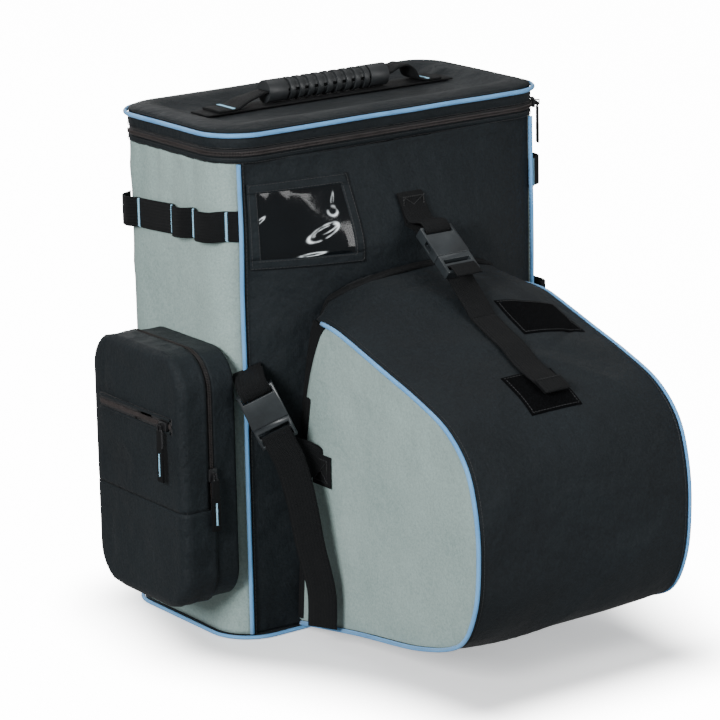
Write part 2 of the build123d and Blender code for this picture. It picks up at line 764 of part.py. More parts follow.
def make_sliders():
    """Sliders on the lid zipper and on the left pocket's two zippers."""
    coil_face = half_width - tape_inset + coil_proud + seat_gap
    rear = Plane(origin=(coil_face, rear_slider_place, zip_height), x_dir=(0, 1, 0), z_dir=(1, 0, 0))
    make_slider("lid_rear", rear, lid_tab_length)
    turn = radians(front_slider_angle)
    reach = coil_face - arc_center_x
    corner = (arc_center_x + reach * cos(turn), -arc_center_y - reach * sin(turn), zip_height)
    front = Plane(origin=corner, x_dir=(sin(turn), cos(turn), 0), z_dir=(cos(turn), -sin(turn), 0))
    make_slider("lid_front", front, lid_tab_length)
    face = -half_width - pocket_depth - 2 - 2 * seat_gap
    face_place = (face, pocket_face_slider_place, pocket_zip_height)
    on_face = Plane(origin=face_place, x_dir=(0, -1, 0), z_dir=(-1, 0, 0))
    make_slider("pocket_face", on_face, pocket_tab_length)
    gusset = (-half_width - pocket_gusset_depth, pocket_front - 0.8 - seat_gap, pocket_slider_height)
    on_gusset = Plane(origin=gusset, x_dir=(1, 0, 0), z_dir=(0, -1, 0))
    make_slider("pocket_side", on_gusset, pocket_tab_length, upright=True)


# Back


def make_back():
    """Back pad, shoulder straps, their yoke, lower webbing and adjusters."""
    outline = Plane.XZ * Pos(0, back_pad_bottom + back_pad_height / 2) * RectangleRounded(
        back_pad_width, back_pad_height, back_pad_radius
    )
    pad_near = half_depth + seat_gap
    pad = Pos(0, pad_near, 0) * extrude(outline, back_pad_thickness, dir=(0, 1, 0))
    write("back_pad", pad)
    face = pad_near + back_pad_thickness + seat_gap
    yoke = block(
        (-shoulder_spacing / 2 - shoulder_width / 2, face, shoulder_top),
        (shoulder_spacing / 2 + shoulder_width / 2, face + 3, shoulder_top + yoke_height),
    )
    straps = []
    locks = []
    webbing = [yoke]
    lock_top = shoulder_bottom - seat_gap
    lock_near = face + webbing_thickness + 2 * seat_gap
    for side in (-1, 1):
        middle = side * shoulder_spacing / 2
        length = shoulder_top - shoulder_bottom - seat_gap
        shape = Plane.XZ * Pos(middle, shoulder_bottom + length / 2) * RectangleRounded(
            shoulder_width, length, shoulder_width * 0.3
        )
        straps.append(Pos(0, face, 0) * extrude(shape, shoulder_thickness, dir=(0, 1, 0)))
        lock = block(
            (middle - adjuster_width / 2, lock_near, lock_top - adjuster_length),
            (middle + adjuster_width / 2, lock_near + adjuster_thickness, lock_top),
        )
        half_slot = lower_webbing_width / 2 + 0.8
        for share in (0.22, 0.62):
            top = lock_top - adjuster_length * share
            lock -= block((middle - half_slot, face, top - 4), (middle + half_slot, face + 9, top))
        locks.append(lock)
        level = face + seat_gap + webbing_thickness / 2
        start = (middle, level, lock_top - adjuster_length * 0.6)
        end = (side * lower_anchor_spacing / 2, level, lower_anchor_height)
        webbing.append(strip(start, end, lower_webbing_width, (1, 0, 0), (1, 0, 0)))
    write("shoulder_straps", Compound(children=straps))
    write("strap_adjusters", Compound(children=locks))
    write("back_webbing", Compound(children=webbing))


make_body()
make_window()
make_lid()
make_handle()
make_flap()
anchors = [make_center_strap()]
tabs = []
for strap_name, strap_side in (("left", -1), ("right", 1)):
    anchor, tab = make_side_strap(strap_name, strap_side)
    anchors.append(anchor)
    tabs.append(tab)
write("strap_anchors", Compound(children=anchors))
write("strap_tabs", Compound(children=tabs))
write("gear_loops", Compound(children=[make_gear_loops(side) for side in (-1, 1)]))
make_left_pocket()
make_slip_pocket()
make_sliders()
make_back()
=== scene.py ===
"""A ski boot bag: grey and black cloth body, padded zipped lid, side pocket and strapped boot flap."""

import math

import bmesh
import bpy
from mathutils import Matrix, Vector, noise


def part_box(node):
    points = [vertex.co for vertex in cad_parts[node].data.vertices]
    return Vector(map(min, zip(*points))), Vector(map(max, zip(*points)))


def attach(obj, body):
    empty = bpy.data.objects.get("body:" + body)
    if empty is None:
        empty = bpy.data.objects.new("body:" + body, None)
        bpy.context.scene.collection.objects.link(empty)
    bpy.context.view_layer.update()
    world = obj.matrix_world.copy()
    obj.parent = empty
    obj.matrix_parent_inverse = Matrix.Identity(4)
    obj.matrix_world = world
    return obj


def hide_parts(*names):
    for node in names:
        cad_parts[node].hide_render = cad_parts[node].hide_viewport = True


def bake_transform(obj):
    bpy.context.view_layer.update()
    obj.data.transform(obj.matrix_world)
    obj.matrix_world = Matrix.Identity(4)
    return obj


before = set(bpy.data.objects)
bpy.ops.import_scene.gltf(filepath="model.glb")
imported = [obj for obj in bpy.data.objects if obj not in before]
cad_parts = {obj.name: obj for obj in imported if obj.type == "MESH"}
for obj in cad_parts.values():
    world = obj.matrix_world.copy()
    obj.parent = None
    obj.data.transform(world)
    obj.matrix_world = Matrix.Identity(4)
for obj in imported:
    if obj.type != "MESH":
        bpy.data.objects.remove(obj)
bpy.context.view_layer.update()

# All shapes below are worked out in millimetres and made in metres.
MM = 0.001


def corners(node):
    low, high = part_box(node)
    return low / MM, high / MM


_, base_high = corners("base_panel")
side_low, side_high = corners("side_panel_right")
half_width = base_high.x
half_depth = base_high.y
corner_radius = 42.0
seam_x = side_low.x
seam_y = side_high.y
panel_bottom = side_low.z
panel_top = side_high.z
band_low, band_high = corners("top_band")
lid_band_low, lid_band_high = corners("lid_band")
lid_low, lid_high = corners("lid_top_panel")
webbing_width = 30.0
webbing_thickness = 1.6
flap_half = 126.0
gear_z = 419.0
cloth_top = panel_top + 4.5
both_sides = (("left", -1), ("right", 1))

# How far the front swells, at shares of its height
front_swell = [(0.0, 10.0), (0.25, 28.0), (0.53, 46.0), (0.82, 50.0), (1.0, 13.0)]

# The flap seen from its side: place from the front, height, and how much its middle stands up
flap_stations = [
    (-122.0, 343.0, 26.0),
    (-160.0, 329.0, 31.0),
    (-205.0, 315.0, 28.0),
    (-255.0, 299.0, 20.0),
    (-305.0, 283.0, 13.0),
    (-350.0, 264.0, 11.0),
    (-380.0, 235.0, 10.0),
    (-394.0, 195.0, 9.0),
    (-398.0, 150.0, 8.0),
    (-392.0, 98.0, 7.0),
    (-368.0, 58.0, 6.0),
    (-305.0, 37.0, 5.0),
    (-205.0, 24.0, 3.0),
    (-109.0, 9.0, 1.0),
]


# ---------------------------------------------------------------- materials


class Field:
    """A number or colour that varies over a surface, with arithmetic."""

    def __init__(self, finish, socket):
        self.finish = finish
        self.socket = socket

    def math(self, operation, *others):
        values = dict(enumerate([self, *others]))
        return self.finish.node("ShaderNodeMath", {"operation": operation}, values)

    def __add__(self, other):
        return self.math("ADD", other)

    def __mul__(self, other):
        return self.math("MULTIPLY", other)

    def __sub__(self, other):
        return self.math("SUBTRACT", other)

    def __rsub__(self, other):
        return self.finish.node("ShaderNodeMath", {"operation": "SUBTRACT"}, {0: other, 1: self})

    __radd__ = __add__
    __rmul__ = __mul__


class Finish:
    """A material round one Principled shader."""

    def __init__(self, name, **constants):
        self.material = bpy.data.materials.new(name)
        self.material.use_nodes = True
        self.tree = self.material.node_tree
        self.shader = self.tree.nodes["Principled BSDF"]
        for key, value in constants.items():
            socket = key.replace("_", " ").title().replace("Ior", "IOR")
            self.shader.inputs[socket].default_value = value

    def node(self, kind, settings=None, inputs=None, output=0):
        made = self.tree.nodes.new(kind)
        for key, value in (settings or {}).items():
            setattr(made, key, value)
        for key, value in (inputs or {}).items():
            if isinstance(value, Field):
                self.tree.links.new(value.socket, made.inputs[key])
            else:
                made.inputs[key].default_value = value
        return Field(self, made.outputs[output])

    def place(self):
        return self.node("ShaderNodeTexCoord", output="Object")

    def uv(self):
        return self.node("ShaderNodeUVMap", {"uv_map": "cloth"})

    def parts(self, vector):
        split = self.tree.nodes.new("ShaderNodeSeparateXYZ")
        self.tree.links.new(vector.socket, split.inputs[0])
        return [Field(self, output) for output in split.outputs]

    def grain(self, vector, scale, detail=2.0, rough=0.5):
        sizes = {"Vector": vector, "Scale": scale, "Detail": detail, "Roughness": rough}
        return self.node("ShaderNodeTexNoise", {}, sizes, "Fac")

    def blend(self, share, first, second):
        inputs = {0: share, 6: first, 7: second}
        return self.node("ShaderNodeMix", {"data_type": "RGBA"}, inputs, 2)

    def set(self, key, field):
        self.tree.links.new(field.socket, self.shader.inputs[key])

    def done(self, tone, dark, light, rough, height, depth):
        """Sets colour, roughness and relief, and gives the material."""
        self.set("Base Color", self.blend(tone, dark, light))
        self.set("Roughness", rough)
        self.relief(height, depth)
        return self.material

    def relief(self, height, depth, strength=1.0):
        inputs = {"Height": height, "Distance": depth * MM, "Strength": strength}
        self.set("Normal", self.node("ShaderNodeBump", {}, inputs))


def shade(red, green, blue, scale=1.0):
    """A linear colour from display values of 0 to 255."""
    return tuple((value / 255 * scale) ** 2.2 for value in (red, green, blue)) + (1.0,)


def woven_cloth(name, light, dark, depth, rough, sheen, crumpled, pitch=1.3):
    """Plain-woven cloth: fine crossing threads, grain and slow changes of tone."""
    finish = Finish(name, sheen_weight=sheen, sheen_roughness=0.45, specular_ior_level=0.2)
    place = finish.place()
    x, y, z = finish.parts(place)
    turn = math.tau / (pitch * MM)
    warp = ((x + y) * turn).math("SINE")
    weft = (z * turn).math("SINE")
    cross = ((x - y) * turn).math("SINE")
    weave = warp * weft * 0.5 + cross * warp * 0.25
    speck = finish.grain(place, 1500.0, 3.0, 0.7)
    mottle = finish.grain(place, 420.0, 3.0, 0.8)
    cloud = finish.grain(place, 9.0, 3.0, 0.5)
    crumple = finish.grain(place, 13.0, 5.0, 0.55)
    tone = weave * 0.12 + speck * 0.5 + mottle * 1.1 + cloud * 0.6 - 0.65
    height = weave * 0.6 + speck + mottle * 1.2 + crumple * crumpled
    return finish.done(tone, dark, light, speck * 0.2 + (rough - 0.1), height, depth)


def webbing_cloth(name, light, dark, rib=1.5):
    """Flat woven webbing with a herringbone of ribs along it."""
    finish = Finish(name, sheen_weight=0.01, sheen_roughness=0.4, specular_ior_level=0.18)
    across, along, _ = finish.parts(finish.uv())
    turn = math.tau / (rib * MM)
    columns = (across * turn * 0.5).math("SINE").math("ABSOLUTE")
    slope = (across * (turn * 0.25)).math("SINE").math("ABSOLUTE") * 2.4
    rows = ((along * turn) + slope * 1.6).math("SINE")
    speck = finish.grain(finish.place(), 1300.0, 2.0, 0.6)
    tone = rows * 0.16 + columns * 0.3 + speck * 0.6 - 0.1
    height = rows * 0.5 + columns + speck * 0.4
    return finish.done(tone, dark, light, speck * 0.2 + 0.62, height, 0.35)


def piping_cloth(name, light, dark):
    """Bias tape sewn round a cord: a fine diagonal twill."""
    finish = Finish(name, sheen_weight=0.2, sheen_roughness=0.4, specular_ior_level=0.35)
    around, along, _ = finish.parts(finish.uv())
    turn = math.tau / (1.1 * MM)
    twill = ((around + along) * turn).math("SINE")
    place = finish.place()
    speck = finish.grain(place, 900.0, 2.0, 0.6)
    cloud = finish.grain(place, 30.0, 2.0, 0.5)
    tone = twill * 0.12 + speck * 0.5 + cloud * 0.7 - 0.1
    return finish.done(tone, dark, light, speck * 0.15 + 0.5, twill * 0.5 + speck, 0.18)


def moulded(name, light, dark, rough, grain_size=700.0, depth=0.05, metallic=0.0):
    """Moulded plastic, rubber or lacquered metal with a fine grain and rubbed places."""
    finish = Finish(name, specular_ior_level=0.5, metallic=metallic)
    place = finish.place()
    fine = finish.grain(place, grain_size, 3.0, 0.6)
    rubbed = finish.grain(place, 60.0, 4.0, 0.6)
    tone = fine * 0.5 + rubbed * 0.8 - 0.15
    return finish.done(tone, dark, light, rubbed * 0.25 + (rough - 0.12), fine, depth)


def coil_zip(name, light, dark):
    """Woven zipper tape: fine ribs that run along it."""
    finish = Finish(name, sheen_weight=0.1, specular_ior_level=0.3)
    place = finish.place()
    _, _, z = finish.parts(place)
    ribs = (z * (math.tau / (0.9 * MM))).math("SINE")
    speck = finish.grain(place, 1400.0, 2.0, 0.6)
    tone = ribs * 0.2 + speck * 0.8 - 0.1
    return finish.done(tone, dark, light, speck * 0.2 + 0.6, ribs * 0.6 + speck, 0.2)


def hook_pile(name, light, dark):
    """Dense hook tape: a rough dark pile."""
    finish = Finish(name, sheen_weight=0.0, specular_ior_level=0.06)
    place = finish.place()
    pile = finish.node("ShaderNodeTexVoronoi", {}, {"Vector": place, "Scale": 700.0}, "Distance")
    speck = finish.grain(place, 1700.0, 2.0, 0.8)
    tone = pile * 0.9 + speck * 0.4 - 0.2
    return finish.done(tone, dark, light, speck * 0.1 + 0.85, pile + speck, 0.7)


def clear_film(name):
    """Clear vinyl: mostly see-through, with a hard gloss, fine ripples and painted highlights,
    near-white colour along its creases.
    """
    finish = Finish(name, coat_weight=0.2, coat_roughness=0.08, specular_ior_level=0.25)
    place = finish.place()
    ripple = finish.grain(place, 45.0, 2.0, 0.5)
    haze = finish.grain(place, 18.0, 2.0, 0.5)
    painted_crease_highlight = finish.node("ShaderNodeAttribute", {"attribute_name": "painted_crease_highlight"}, output="Fac")
    clear = finish.blend(haze, shade(8, 11, 13), shade(22, 26, 29))
    # Painted highlight: where the crease attribute is high, the film turns near white and less
    # see-through.
    finish.set("Base Color", finish.blend(painted_crease_highlight, clear, shade(232, 240, 243)))
    finish.set("Alpha", painted_crease_highlight * 0.2 + 0.78)
    finish.set("Roughness", haze * 0.1 + 0.05)
    finish.relief(ripple, 0.5, 0.5)
    return finish.material


def spacer_mesh(name, light, dark):
    """Open knitted mesh over foam."""
    finish = Finish(name, sheen_weight=0.2, specular_ior_level=0.25)
    place = finish.place()
    holes = finish.node("ShaderNodeTexVoronoi", {}, {"Vector": place, "Scale": 330.0}, "Distance")
    speck = finish.grain(place, 1200.0, 2.0, 0.6)
    tone = holes * 1.3 + speck * 0.4 - 0.2
    return finish.done(tone, dark, light, speck * 0.1 + 0.75, holes, 0.8)


grey_tones = shade(160, 179, 175), shade(110, 129, 126)
black_tones = shade(33, 40, 44), shade(9, 13, 16)
grey_cloth = woven_cloth(
    "grey_cloth", *grey_tones, depth=0.22, rough=0.72, sheen=0.04, crumpled=30.0
)
black_cloth = woven_cloth(
    "black_cloth", *black_tones, depth=0.26, rough=0.64, sheen=0.02, crumpled=44.0
)
black_webbing = webbing_cloth("black_webbing", shade(26, 28, 30), shade(7, 8, 9))
blue_piping = piping_cloth("blue_piping", shade(118, 180, 230), shade(62, 126, 188))
blue_thread = moulded("blue_thread", shade(172, 216, 236), shade(120, 176, 208), 0.6, 1500.0, 0.1)
black_thread = moulded("black_thread", shade(46, 48, 50), shade(20, 21, 22), 0.6, 1500.0, 0.1)
buckle_plastic = moulded("buckle_plastic", shade(52, 57, 60), shade(28, 31, 33), 0.4)
grip_rubber = moulded("grip_rubber", shade(44, 47, 49), shade(20, 22, 24), 0.5, 500.0, 0.08)
slider_metal = moulded("slider_metal", shade(58, 58, 60), shade(24, 24, 26), 0.36, 300.0, 0.03, 0.6)
zip_tape = coil_zip("zip_tape", shade(34, 34, 37), shade(12, 13, 15))
zip_coil = moulded("zip_coil", shade(66, 60, 59), shade(28, 26, 26), 0.4, 900.0, 0.05)
hook_tape = hook_pile("hook_tape", shade(20, 21, 23), shade(4, 4, 5))
window_film = clear_film("window_film")
pad_mesh = spacer_mesh("pad_mesh", shade(44, 48, 51), shade(9, 10, 12))
board_plastic = moulded("board_plastic", shade(70, 72, 74), shade(46, 48, 50), 0.6)


# ---------------------------------------------------------------- mesh helpers


def finish_piece(piece, body, slot, *nodes):
    """The piece rides on its body and stands for the given nodes."""
    if body:
        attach(piece, body)
    if nodes:
        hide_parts(*nodes)
    return piece


def applied(piece):
    """The piece with its modifiers worked into its mesh."""
    graph = bpy.context.evaluated_depsgraph_get()
    mesh = bpy.data.meshes.new_from_object(piece.evaluated_get(graph))
    mesh.name = piece.name
    piece.modifiers.clear()
    piece.data = mesh
    return piece


def placed(name, data):
    """A new object for the given mesh, curve, light or camera."""
    made = bpy.data.objects.new(name, data)
    bpy.context.scene.collection.objects.link(made)
    return made


def mesh_piece(name, points, faces, material, uvs=None):
    """A smooth-shaded mesh, given in millimetres."""
    mesh = bpy.data.meshes.new(name)
    mesh.from_pydata([Vector(point) * MM for point in points], [], faces)
    if uvs:
        layer = mesh.uv_layers.new(name="cloth")
        for loop in mesh.loops:
            layer.data[loop.index].uv = (uvs[loop.vertex_index][0] * MM, uvs[loop.vertex_index][1] * MM)
    mesh.materials.append(material)
    for polygon in mesh.polygons:
        polygon.use_smooth = True
    return placed(name, mesh)


def grid_faces(columns, rows, closed=False, flip=False):
    """Quads over points stored row by row."""
    faces = []
    last = columns if closed else columns - 1
    for row in range(rows - 1):
        for column in range(last):
            after = (column + 1) % columns
            quad = [
                row * columns + column,
                row * columns + after,
                (row + 1) * columns + after,
                (row + 1) * columns + column,
            ]
            faces.append(quad[::-1] if flip else quad)
    return faces


def cloth_sheet(name, columns, rows, place, thickness, material, closed=False, flip=False):
    """A sheet over a grid of places; its thickness goes inward."""
    points = []
    uvs = []
    for row in range(rows):
        along = 0.0
        for column in range(columns):
            point = Vector(place(column / (columns - 1 + closed), row / (rows - 1)))
            if column:
                along += (point - points[-1]).length
            points.append(point)
            uvs.append((along, row / (rows - 1) * 100.0))
    piece = mesh_piece(name, points, grid_faces(columns, rows, closed, flip), material, uvs)
    return thicken(piece, thickness)


def thicken(piece, thickness):
    """The piece with a wall that grows inward."""
    wall = piece.modifiers.new("wall", "SOLIDIFY")
    wall.thickness = thickness * MM
    wall.offset = -1.0
    return applied(piece)


def smooth_route(points, step=4.0):
    """Even points on a smooth curve through the given ones."""
    points = [Vector(point) for point in points]
    last = len(points) - 1
    dense = []
    for index in range(last):
        four = [points[min(max(index + shift, 0), last)] for shift in (-1, 0, 1, 2)]
        before, start, end, after = four
        length = (end - start).length
        parts = max(2, round(length / step))
        out = (end - before) * 0.5
        into = (after - start) * 0.5
        if out.length > length:
            out = out.normalized() * length
        if into.length > length:
            into = into.normalized() * length
        for part in range(parts):
            t = part / parts
            first = 2 * t**3 - 3 * t**2 + 1
            second = t**3 - 2 * t**2 + t
            third = -2 * t**3 + 3 * t**2
            fourth = t**3 - t**2
            dense.append(start * first + out * second + end * third + into * fourth)
    dense.append(points[-1].copy())
    return dense


def tangents(route, closed=False):
    """The direction of travel at each point of a route."""
    count = len(route)
    found = []
    for index in range(count):
        before = route[(index - 1) % count] if closed else route[max(index - 1, 0)]
        after = route[(index + 1) % count] if closed else route[min(index + 1, count - 1)]
        found.append((after - before).normalized())
    return found


def tube(name, route, radius, material, closed=False, sides=10):
    """A round cord along a route, with caps where it ends."""
    runs = tangents(route, closed)
    normal = runs[0].orthogonal().normalized()
    points = []
    uvs = []
    along = 0.0
    for index, (middle, run) in enumerate(zip(route, runs)):
        normal = (normal - run * normal.dot(run)).normalized()
        side = run.cross(normal)
        if index:
            along += (middle - route[index - 1]).length
        for spoke in range(sides):
            angle = math.tau * spoke / sides
            points.append(middle + (normal * math.cos(angle) + side * math.sin(angle)) * radius)
            uvs.append((angle * radius, along))
    rows = len(route)
    faces = grid_faces(sides, rows, closed=True)
    if closed:
        last = (rows - 1) * sides
        nearest = min(range(sides), key=lambda spoke: (points[spoke] - points[last]).length)
        for spoke in range(sides):
            after = (spoke + 1) % sides
            there = (nearest + spoke) % sides
            faces.append([last + spoke, last + after, (there + 1) % sides, there])
    else:
        faces.append(list(range(sides))[::-1])
        faces.append([(rows - 1) * sides + spoke for spoke in range(sides)])
    return mesh_piece(name, points, faces, material, uvs)


def ribbon(name, route, across, material, width=webbing_width, thickness=webbing_thickness, step=4.0):
    """Webbing along a route. Across and width may be lists, one for each point."""
    dense = smooth_route(route, step)
    spread = [Vector(a) for a in across] if isinstance(across, list) else [Vector(across)] * len(route)
    widths = width if isinstance(width, list) else [width] * len(route)
    keys = [0.0]
    for before, after in zip(route, route[1:]):
        keys.append(keys[-1] + (Vector(after) - Vector(before)).length)
    total = keys[-1]
    edge = thickness * 0.32
    points = []
    uvs = []
    along = 0.0
    for index, (middle, run) in enumerate(zip(dense, tangents(dense))):
        if index:
            along += (middle - dense[index - 1]).length
        share = index / (len(dense) - 1) * total
        spot = max(i for i in range(len(keys)) if keys[i] <= share + 1e-6)
        spot = min(spot, len(keys) - 2)
        mix = (share - keys[spot]) / max(keys[spot + 1] - keys[spot], 1e-6)
        wide = spread[spot].lerp(spread[spot + 1], mix)
        wide = (wide - run * wide.dot(run)).normalized()
        half = (widths[spot] * (1 - mix) + widths[spot + 1] * mix) / 2
        out = wide.cross(run)
        rim = thickness / 2
        crown = rim * 1.08
        section = [(-half + edge, rim), (-half * 0.4, crown), (half * 0.4, crown), (half - edge, rim)]
        section += [(half, rim - edge), (half, edge - rim)]
        section += [(x, -y) for x, y in section[3::-1]] + [(-half, edge - rim), (-half, rim - edge)]
        for x, y in section:
            points.append(middle + wide * x + out * y)
            uvs.append((x, along))
    sides = 12
    rows = len(dense)
    faces = grid_faces(sides, rows, closed=True, flip=True)
    faces.append(list(range(sides)))
    faces.append([(rows - 1) * sides + spoke for spoke in range(sides)][::-1])
    return mesh_piece(name, points, faces, material, uvs)


def joined(name, pieces):
    """Several pieces made one mesh."""
    shape = bmesh.new()
    materials = []
    for piece in pieces:
        for material in piece.data.materials:
            if material not in materials:
                materials.append(material)
        before = len(shape.faces)
        shape.from_mesh(piece.data)
        shape.faces.ensure_lookup_table()
        for face in shape.faces[before:]:
            face.material_index = materials.index(piece.data.materials[face.material_index])
        bpy.data.objects.remove(piece)
    mesh = bpy.data.meshes.new(name)
    shape.to_mesh(mesh)
    shape.free()
    for material in materials:
        mesh.materials.append(material)
    return placed(name, mesh)


def rounded_copy(node, material, bevel=0.4, second=None, split=None):
    """A softer-edged copy of a hard node. Below a split height it takes a second material."""
    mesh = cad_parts[node].data.copy()
    shape = bmesh.new()
    shape.from_mesh(mesh)
    bmesh.ops.remove_doubles(shape, verts=shape.verts, dist=0.00001)
    bmesh.ops.dissolve_limit(shape, angle_limit=math.radians(2), verts=shape.verts, edges=shape.edges)
    shape.to_mesh(mesh)
    shape.free()
    mesh.materials.clear()
    mesh.materials.append(material)
    if second:
        mesh.materials.append(second)
        for polygon in mesh.polygons:
            polygon.material_index = 1 if polygon.center.z < split * MM else 0
    piece = placed(node + "_finished", mesh)
    edge = piece.modifiers.new("edge", "BEVEL")
    edge.width = bevel * MM
    edge.segments = 2
    edge.limit_method = "ANGLE"
    edge.angle_limit = math.radians(35)
    edge.harden_normals = True
    for polygon in mesh.polygons:
        polygon.use_smooth = True
    return applied(piece)


def bar_tree(name, crosswise):
    """Nodes that lay small round bars along a route, or across it."""
    tree = bpy.data.node_groups.new(name, "GeometryNodeTree")
    inputs = [("Route", "Geometry"), ("Spacing", "Float"), ("Length", "Float"), ("Radius", "Float")]
    inputs += [("Across", "Vector"), ("Material", "Material")]
    for socket, kind in inputs:
        tree.interface.new_socket(socket, in_out="INPUT", socket_type=f"NodeSocket{kind}")
    tree.interface.new_socket("Bars", in_out="OUTPUT", socket_type="NodeSocketGeometry")
    nodes = tree.nodes
    link = tree.links.new
    given = nodes.new("NodeGroupInput")
    spread = nodes.new("GeometryNodeCurveToPoints")
    spread.mode = "LENGTH"
    link(given.outputs["Route"], spread.inputs["Curve"])
    link(given.outputs["Spacing"], spread.inputs["Length"])
    bar = nodes.new("GeometryNodeMeshCylinder")
    bar.inputs["Vertices"].default_value = 6
    link(given.outputs["Radius"], bar.inputs["Radius"])
    link(given.outputs["Length"], bar.inputs["Depth"])
    turn = nodes.new("FunctionNodeAlignRotationToVector")
    turn.axis = "Z"
    aim = given.outputs["Across"] if crosswise else spread.outputs["Tangent"]
    link(aim, turn.inputs["Vector"])
    copies = nodes.new("GeometryNodeInstanceOnPoints")
    link(spread.outputs["Points"], copies.inputs["Points"])
    link(bar.outputs["Mesh"], copies.inputs["Instance"])
    link(turn.outputs["Rotation"], copies.inputs["Rotation"])
    real = nodes.new("GeometryNodeRealizeInstances")
    link(copies.outputs["Instances"], real.inputs["Geometry"])
    coat = nodes.new("GeometryNodeSetMaterial")
    link(real.outputs["Geometry"], coat.inputs["Geometry"])
    link(given.outputs["Material"], coat.inputs["Material"])
    result = nodes.new("NodeGroupOutput")
    link(coat.outputs["Geometry"], result.inputs["Bars"])
    return tree


stitch_tree = bar_tree("stitches_along", False)
crossbar_tree = bar_tree("bars_across", True)


def bars(name, routes, material, body, spacing, length, radius, across=None):
    """Stitches along routes, or zipper teeth and bar tacks across them."""
    curve = bpy.data.curves.new(name + "_route", "CURVE")
    curve.dimensions = "3D"
    for route in routes:
        spline = curve.splines.new("POLY")
        spline.points.add(len(route) - 1)
        for point, place in zip(spline.points, route):
            point.co = (*(Vector(place) * MM), 1.0)
    holder = placed(name + "_route", curve)
    tree = crossbar_tree if across else stitch_tree
    layer = holder.modifiers.new("bars", "NODES")
    layer.node_group = tree
    sizes = {"Spacing": spacing * MM, "Length": length * MM, "Radius": radius * MM}
    sizes |= {"Across": tuple(across or (0.0, 0.0, 1.0)), "Material": material}
    for socket in tree.interface.items_tree:
        if socket.in_out == "INPUT" and socket.name in sizes:
            layer[socket.identifier] = sizes[socket.name]
    graph = bpy.context.evaluated_depsgraph_get()
    graph.update()
    mesh = bpy.data.meshes.new_from_object(holder.evaluated_get(graph))
    bpy.data.objects.remove(holder)
    mesh.name = name
    piece = placed(name, mesh)
    if body:
        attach(piece, body)
    return piece


def stitches(name, routes, material=black_thread, body="bag", pitch=3.4):
    """Running stitches along routes, each a little shorter than its pitch."""
    return bars(name, routes, material, body, pitch, pitch * 0.72, 0.32)


def evenly(start, end, parts):
    """Places in equal steps from start to end."""
    return [[a + (b - a) * part / parts for a, b in zip(start, end)] for part in range(parts + 1)]


def rectangle(low_x, high_x, low_y, high_y, parts):
    """Places round a rectangle, as many on each side."""
    ring = [(low_x, low_y), (high_x, low_y), (high_x, high_y), (low_x, high_y)]
    sides = zip(ring, ring[1:] + ring[:1])
    return [place for start, end in sides for place in evenly(start, end, parts)[:-1]]


def zigzag(swing):
    """A bar tack across webbing: steps aside and along from its middle."""
    return [((part % 2 - 0.5) * swing, -14 + 28 * part / 30) for part in range(31)]


def corner_inset(end, radius):
    """How far a rounded corner draws a side in, at a distance from the end."""
    return radius - math.sqrt(max(radius**2 - (radius - end) ** 2, 0.0)) if end < radius else 0.0


def ripple(point, size, seed=0.0):
    """Smooth noise from -1 to 1 over lengths of about the given size."""
    return noise.noise(Vector(point) / size + Vector((seed, seed * 1.7, seed * 0.3)))


def eased(value):
    """The value kept between 0 and 1, with soft ends."""
    value = min(max(value, 0.0), 1.0)
    return value * value * (3 - 2 * value)


# ---------------------------------------------------------------- shapes of the bag


def swell_at(height):
    """How far the front stands forward of its side seams at a height."""
    share = min(max(height / panel_top, 0.0), 1.0)
    for (low, start), (high, end) in zip(front_swell, front_swell[1:]):
        if share <= high:
            mix = (share - low) / (high - low)
            return start + (end - start) * (mix * 0.5 + eased(mix) * 0.5)
    return front_swell[-1][1]


def front_y(x, z):
    """How deep the smooth front lies at a place."""
    return -(seam_y + swell_at(z) * max(0.0, 1 - (x / seam_x) ** 2))


def on_front(x, z, out=0.0):
    """A place on the smooth front, or a little before it."""
    return Vector((x, front_y(x, z) - out, z))


def crease(point, size, seed):
    """Sparse sharp folds: 1 along a fold's ridge, falling to 0 beside it."""
    return max(0.0, 1 - abs(ripple(point, size, seed)) * 7.0) ** 1.5


def front_fold(x, z):
    """How far the front cloth's soft folds stand out at a place."""
    under = max(cloth_top - z, 0.0)
    held = (1 - min(abs(x / seam_x), 1.0) ** 6) * eased(under / 24)
    slanted = (x * 0.75 + z * 0.75, (z - x) * 0.22, 11)
    fold = ripple(slanted, 60.0, 4.0) * 2.2 + ripple((x, z, 23), 120.0, 6.0) * 2.4
    fold += crease(slanted, 105.0, 9.0) * 1.6 * eased((x + 40) / 60)
    fold += crease((x, z * 0.5, 40), 90.0, 3.0) * 0.9
    gather = ripple((x * 1.5, under * 0.2, 2), 19.0, 8.0) * 1.1 * math.exp(-under / 26.0)
    return (fold - 1.2) * held + gather * eased(under / 4)


def front_skin(x, z, out=0.0):
    """A place on the front cloth with its folds."""
    return on_front(x, z, front_fold(x, z) + out)


def plan_loop(grow=0.0, step=6.0):
    """Places and outward directions round the bag, anticlockwise from the middle of the front."""
    radius = corner_radius + grow
    flat_x = half_width - corner_radius
    flat_y = half_depth - corner_radius
    start = Vector((0, -half_depth - grow))
    here = start
    loop = []
    middles = (flat_x, -flat_y), (flat_x, flat_y), (-flat_x, flat_y), (-flat_x, -flat_y)
    for turn, middle in enumerate(middles):
        middle = Vector(middle)
        facing = Vector(((0, -1), (1, 0), (0, 1), (-1, 0))[turn])
        there = middle + facing * radius
        parts = max(1, round((there - here).length / step))
        loop += [(here.lerp(there, part / parts), facing) for part in range(parts)]
        parts = max(6, round(radius * math.pi / 2 / step))
        for part in range(parts):
            angle = math.radians(90 * (turn - 1 + part / parts))
            around = Vector((math.cos(angle), math.sin(angle)))
            loop.append((middle + around * radius, around))
        here = middle + Vector((-facing.y, facing.x)) * radius
    parts = max(1, round((start - here).length / step))
    return loop + [(here.lerp(start, part / parts), Vector((0, -1))) for part in range(parts)]


